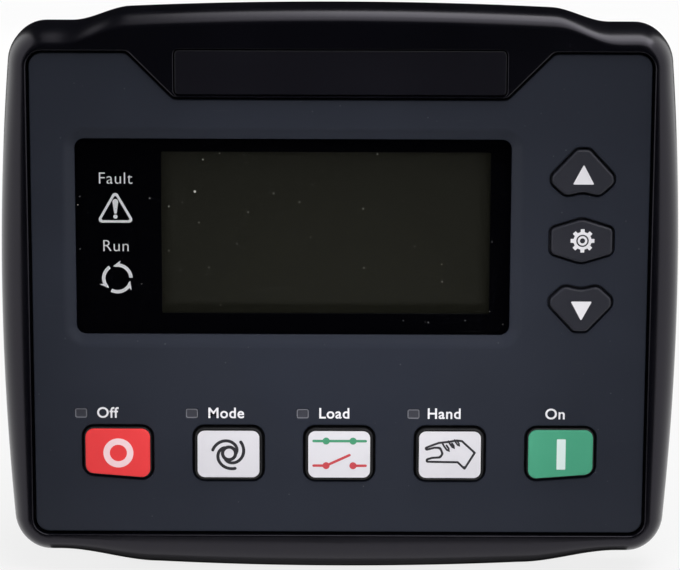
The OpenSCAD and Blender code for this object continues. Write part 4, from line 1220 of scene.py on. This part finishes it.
# %% [markdown]
# ## Terminal plugs
# Wires come in through plug-in screw terminals. Each pole has a square entry with a funnel that
# gathers the strands, a metal cage behind it that the screw pulls tight, and a well for the
# screwdriver on the outer side. The CAD plugs are plain blocks with holes, so each gets a skin of
# the same size with these details.

# %% Terminal plugs
POLE_PITCH, PLUG_ENDS, NOSE_STEP = 5.08, 2.25, (2.55, 4.2)
PLUG_FRONT, PLUG_R, NOSE_R = 28.3, 0.3, 0.2
CELL_SPACE, CELL_T = 0.3, 0.5
CELL_EDGE = ((0, -CELL_T), (0, -0.15), (-0.04, -0.04), (-0.15, 0))  # growth, depth from the end
WIRE_W, WIRE_FLOOR, WIRE_FUNNEL = 3.2, 29.3, ((0.45, 0), (0, -0.6))
WELL_R, WELL_Y, WELL_STEPS, WELL_EDGE = 1.8, 32.8, 24, ((0.25, 0), (0, 0.25), (0, 3.6))
CAGE_W, CAGE_WALL, CAGE_Y = 3.1, 0.35, (30.5, 36.2)
TOP_SIDE, BOTTOM_SIDE = 26, 8  # where the straight sides start in a rounded rectangle


def flat_ring(bm, points, z):
    """Vertices of an outline given as x and y, at one height."""
    return [bm.verts.new((p[0] * MM, p[1] * MM, z * MM)) for p in points]


poles = []
for number in range(1, 5):
    name = "terminal_plug_%d" % number
    low, high = node_mm(name)
    w, h, back = high.x - low.x, high.z - low.z, high.y
    middle = node_middle(name)
    up = 1 if middle.y > 0 else -1
    count = round((w - PLUG_ENDS) / POLE_PITCH)
    places = [middle + Vector(((k - (count - 1) / 2) * POLE_PITCH, 0)) for k in range(count)]
    poles += places
    bm, cages = bmesh.new(), bmesh.new()
    body = tube(bm, box_outline(w, h, PLUG_R, middle), PLUG_FRONT, back - CELL_T)
    nose_w, nose_h = w - NOSE_STEP[0], h - NOSE_STEP[1]
    nose = tube(bm, box_outline(nose_w, nose_h, NOSE_R, middle), low.y, PLUG_FRONT)
    fill(bm, nose[0])
    fill(bm, body[0], nose[1])
    cell_w, cell_h = POLE_PITCH - CELL_SPACE, h - CELL_SPACE
    cell_levels = [(by, back + y) for by, y in CELL_EDGE]
    wire_levels = [(by, back + y) for by, y in WIRE_FUNNEL] + [(0, WIRE_FLOOR)]
    cells, wells = [], []
    for at in places:
        cell = sleeve(bm, partial(box_outline, cell_w, cell_h, PLUG_R, at), cell_levels)
        entry = sleeve(bm, partial(box_outline, WIRE_W, WIRE_W, PLUG_R, at), wire_levels)
        well = []
        for by, deep in WELL_EDGE:
            hole = circle(WELL_R + by, (at.x, WELL_Y), WELL_STEPS)
            well.append(flat_ring(bm, hole, middle.y + up * (h / 2 - deep)))
        loft(bm, well)
        fill(bm, cell[-1], entry[0])
        fill(bm, entry[-1])
        fill(bm, well[-1])
        cells.append(cell[0])
        wells.append(well[0])
        cage = [box_outline(CAGE_W, CAGE_W, PLUG_R, at, by) for by in (0, -CAGE_WALL)]
        slab(cages, cage, *CAGE_Y)
    fill(bm, body[1], *cells)
    k = TOP_SIDE if up > 0 else BOTTOM_SIDE
    side = [body[0][k], body[0][k + 1], body[1][k + 1], body[1][k]]
    bm.faces.remove(bm.faces.get(side))
    fill(bm, side, *wells)
    nylon, tin = REAR_FINISH["terminal_nylon"], REAR_FINISH["usb_tinplate"]
    piece("plug_%d" % number, bm, nylon, "terminal_nylon", name)
    piece("cages_%d" % number, cages, tin, "screw_steel")
print(len(poles), "poles in four plugs")

# %% [markdown]
# On the rear wall each pole has its number, counted from left to right as the fitter sees it from
# behind, and a bare film fills the recess between the two rows.

# %% Rear wall
CASE_BACK = node_mm("rear_case")[1].y
NUMBER_H, NUMBER_WEIGHT, UPPER_Z, LOWER_Z = 1.9, 0.03, 35.2, -20.6
FILM, FILM_Y = (61.2, 21.2, 1.2), (CASE_BACK - 0.29, CASE_BACK - 0.12)
bm = bmesh.new()
ordered = sorted(poles, key=lambda p: (-p.y, -p.x))
for number, pole in enumerate(ordered, 1):
    at = (pole.x, UPPER_Z if pole.y > 0 else LOWER_Z)
    lettering(bm, str(number), at, NUMBER_H, CASE_BACK, NUMBER_WEIGHT, "CENTER", rear=True)
piece("pole_numbers", bm, white_ink, "case_abs")
# Metallised polyester film: a cool grey with a soft sheen.
silver_film = moulded(
    "silver_polyester_film", "#9B9DA1", "#A7A9AD", 0.38, 0.5, 0.002, {"Metallic": 0.5}
)
bm = bmesh.new()
slab(bm, [box_outline(*FILM)], *FILM_Y)
piece("rear_film", bm, silver_film, "case_abs")
print(len(ordered), "numbers on the rear wall")
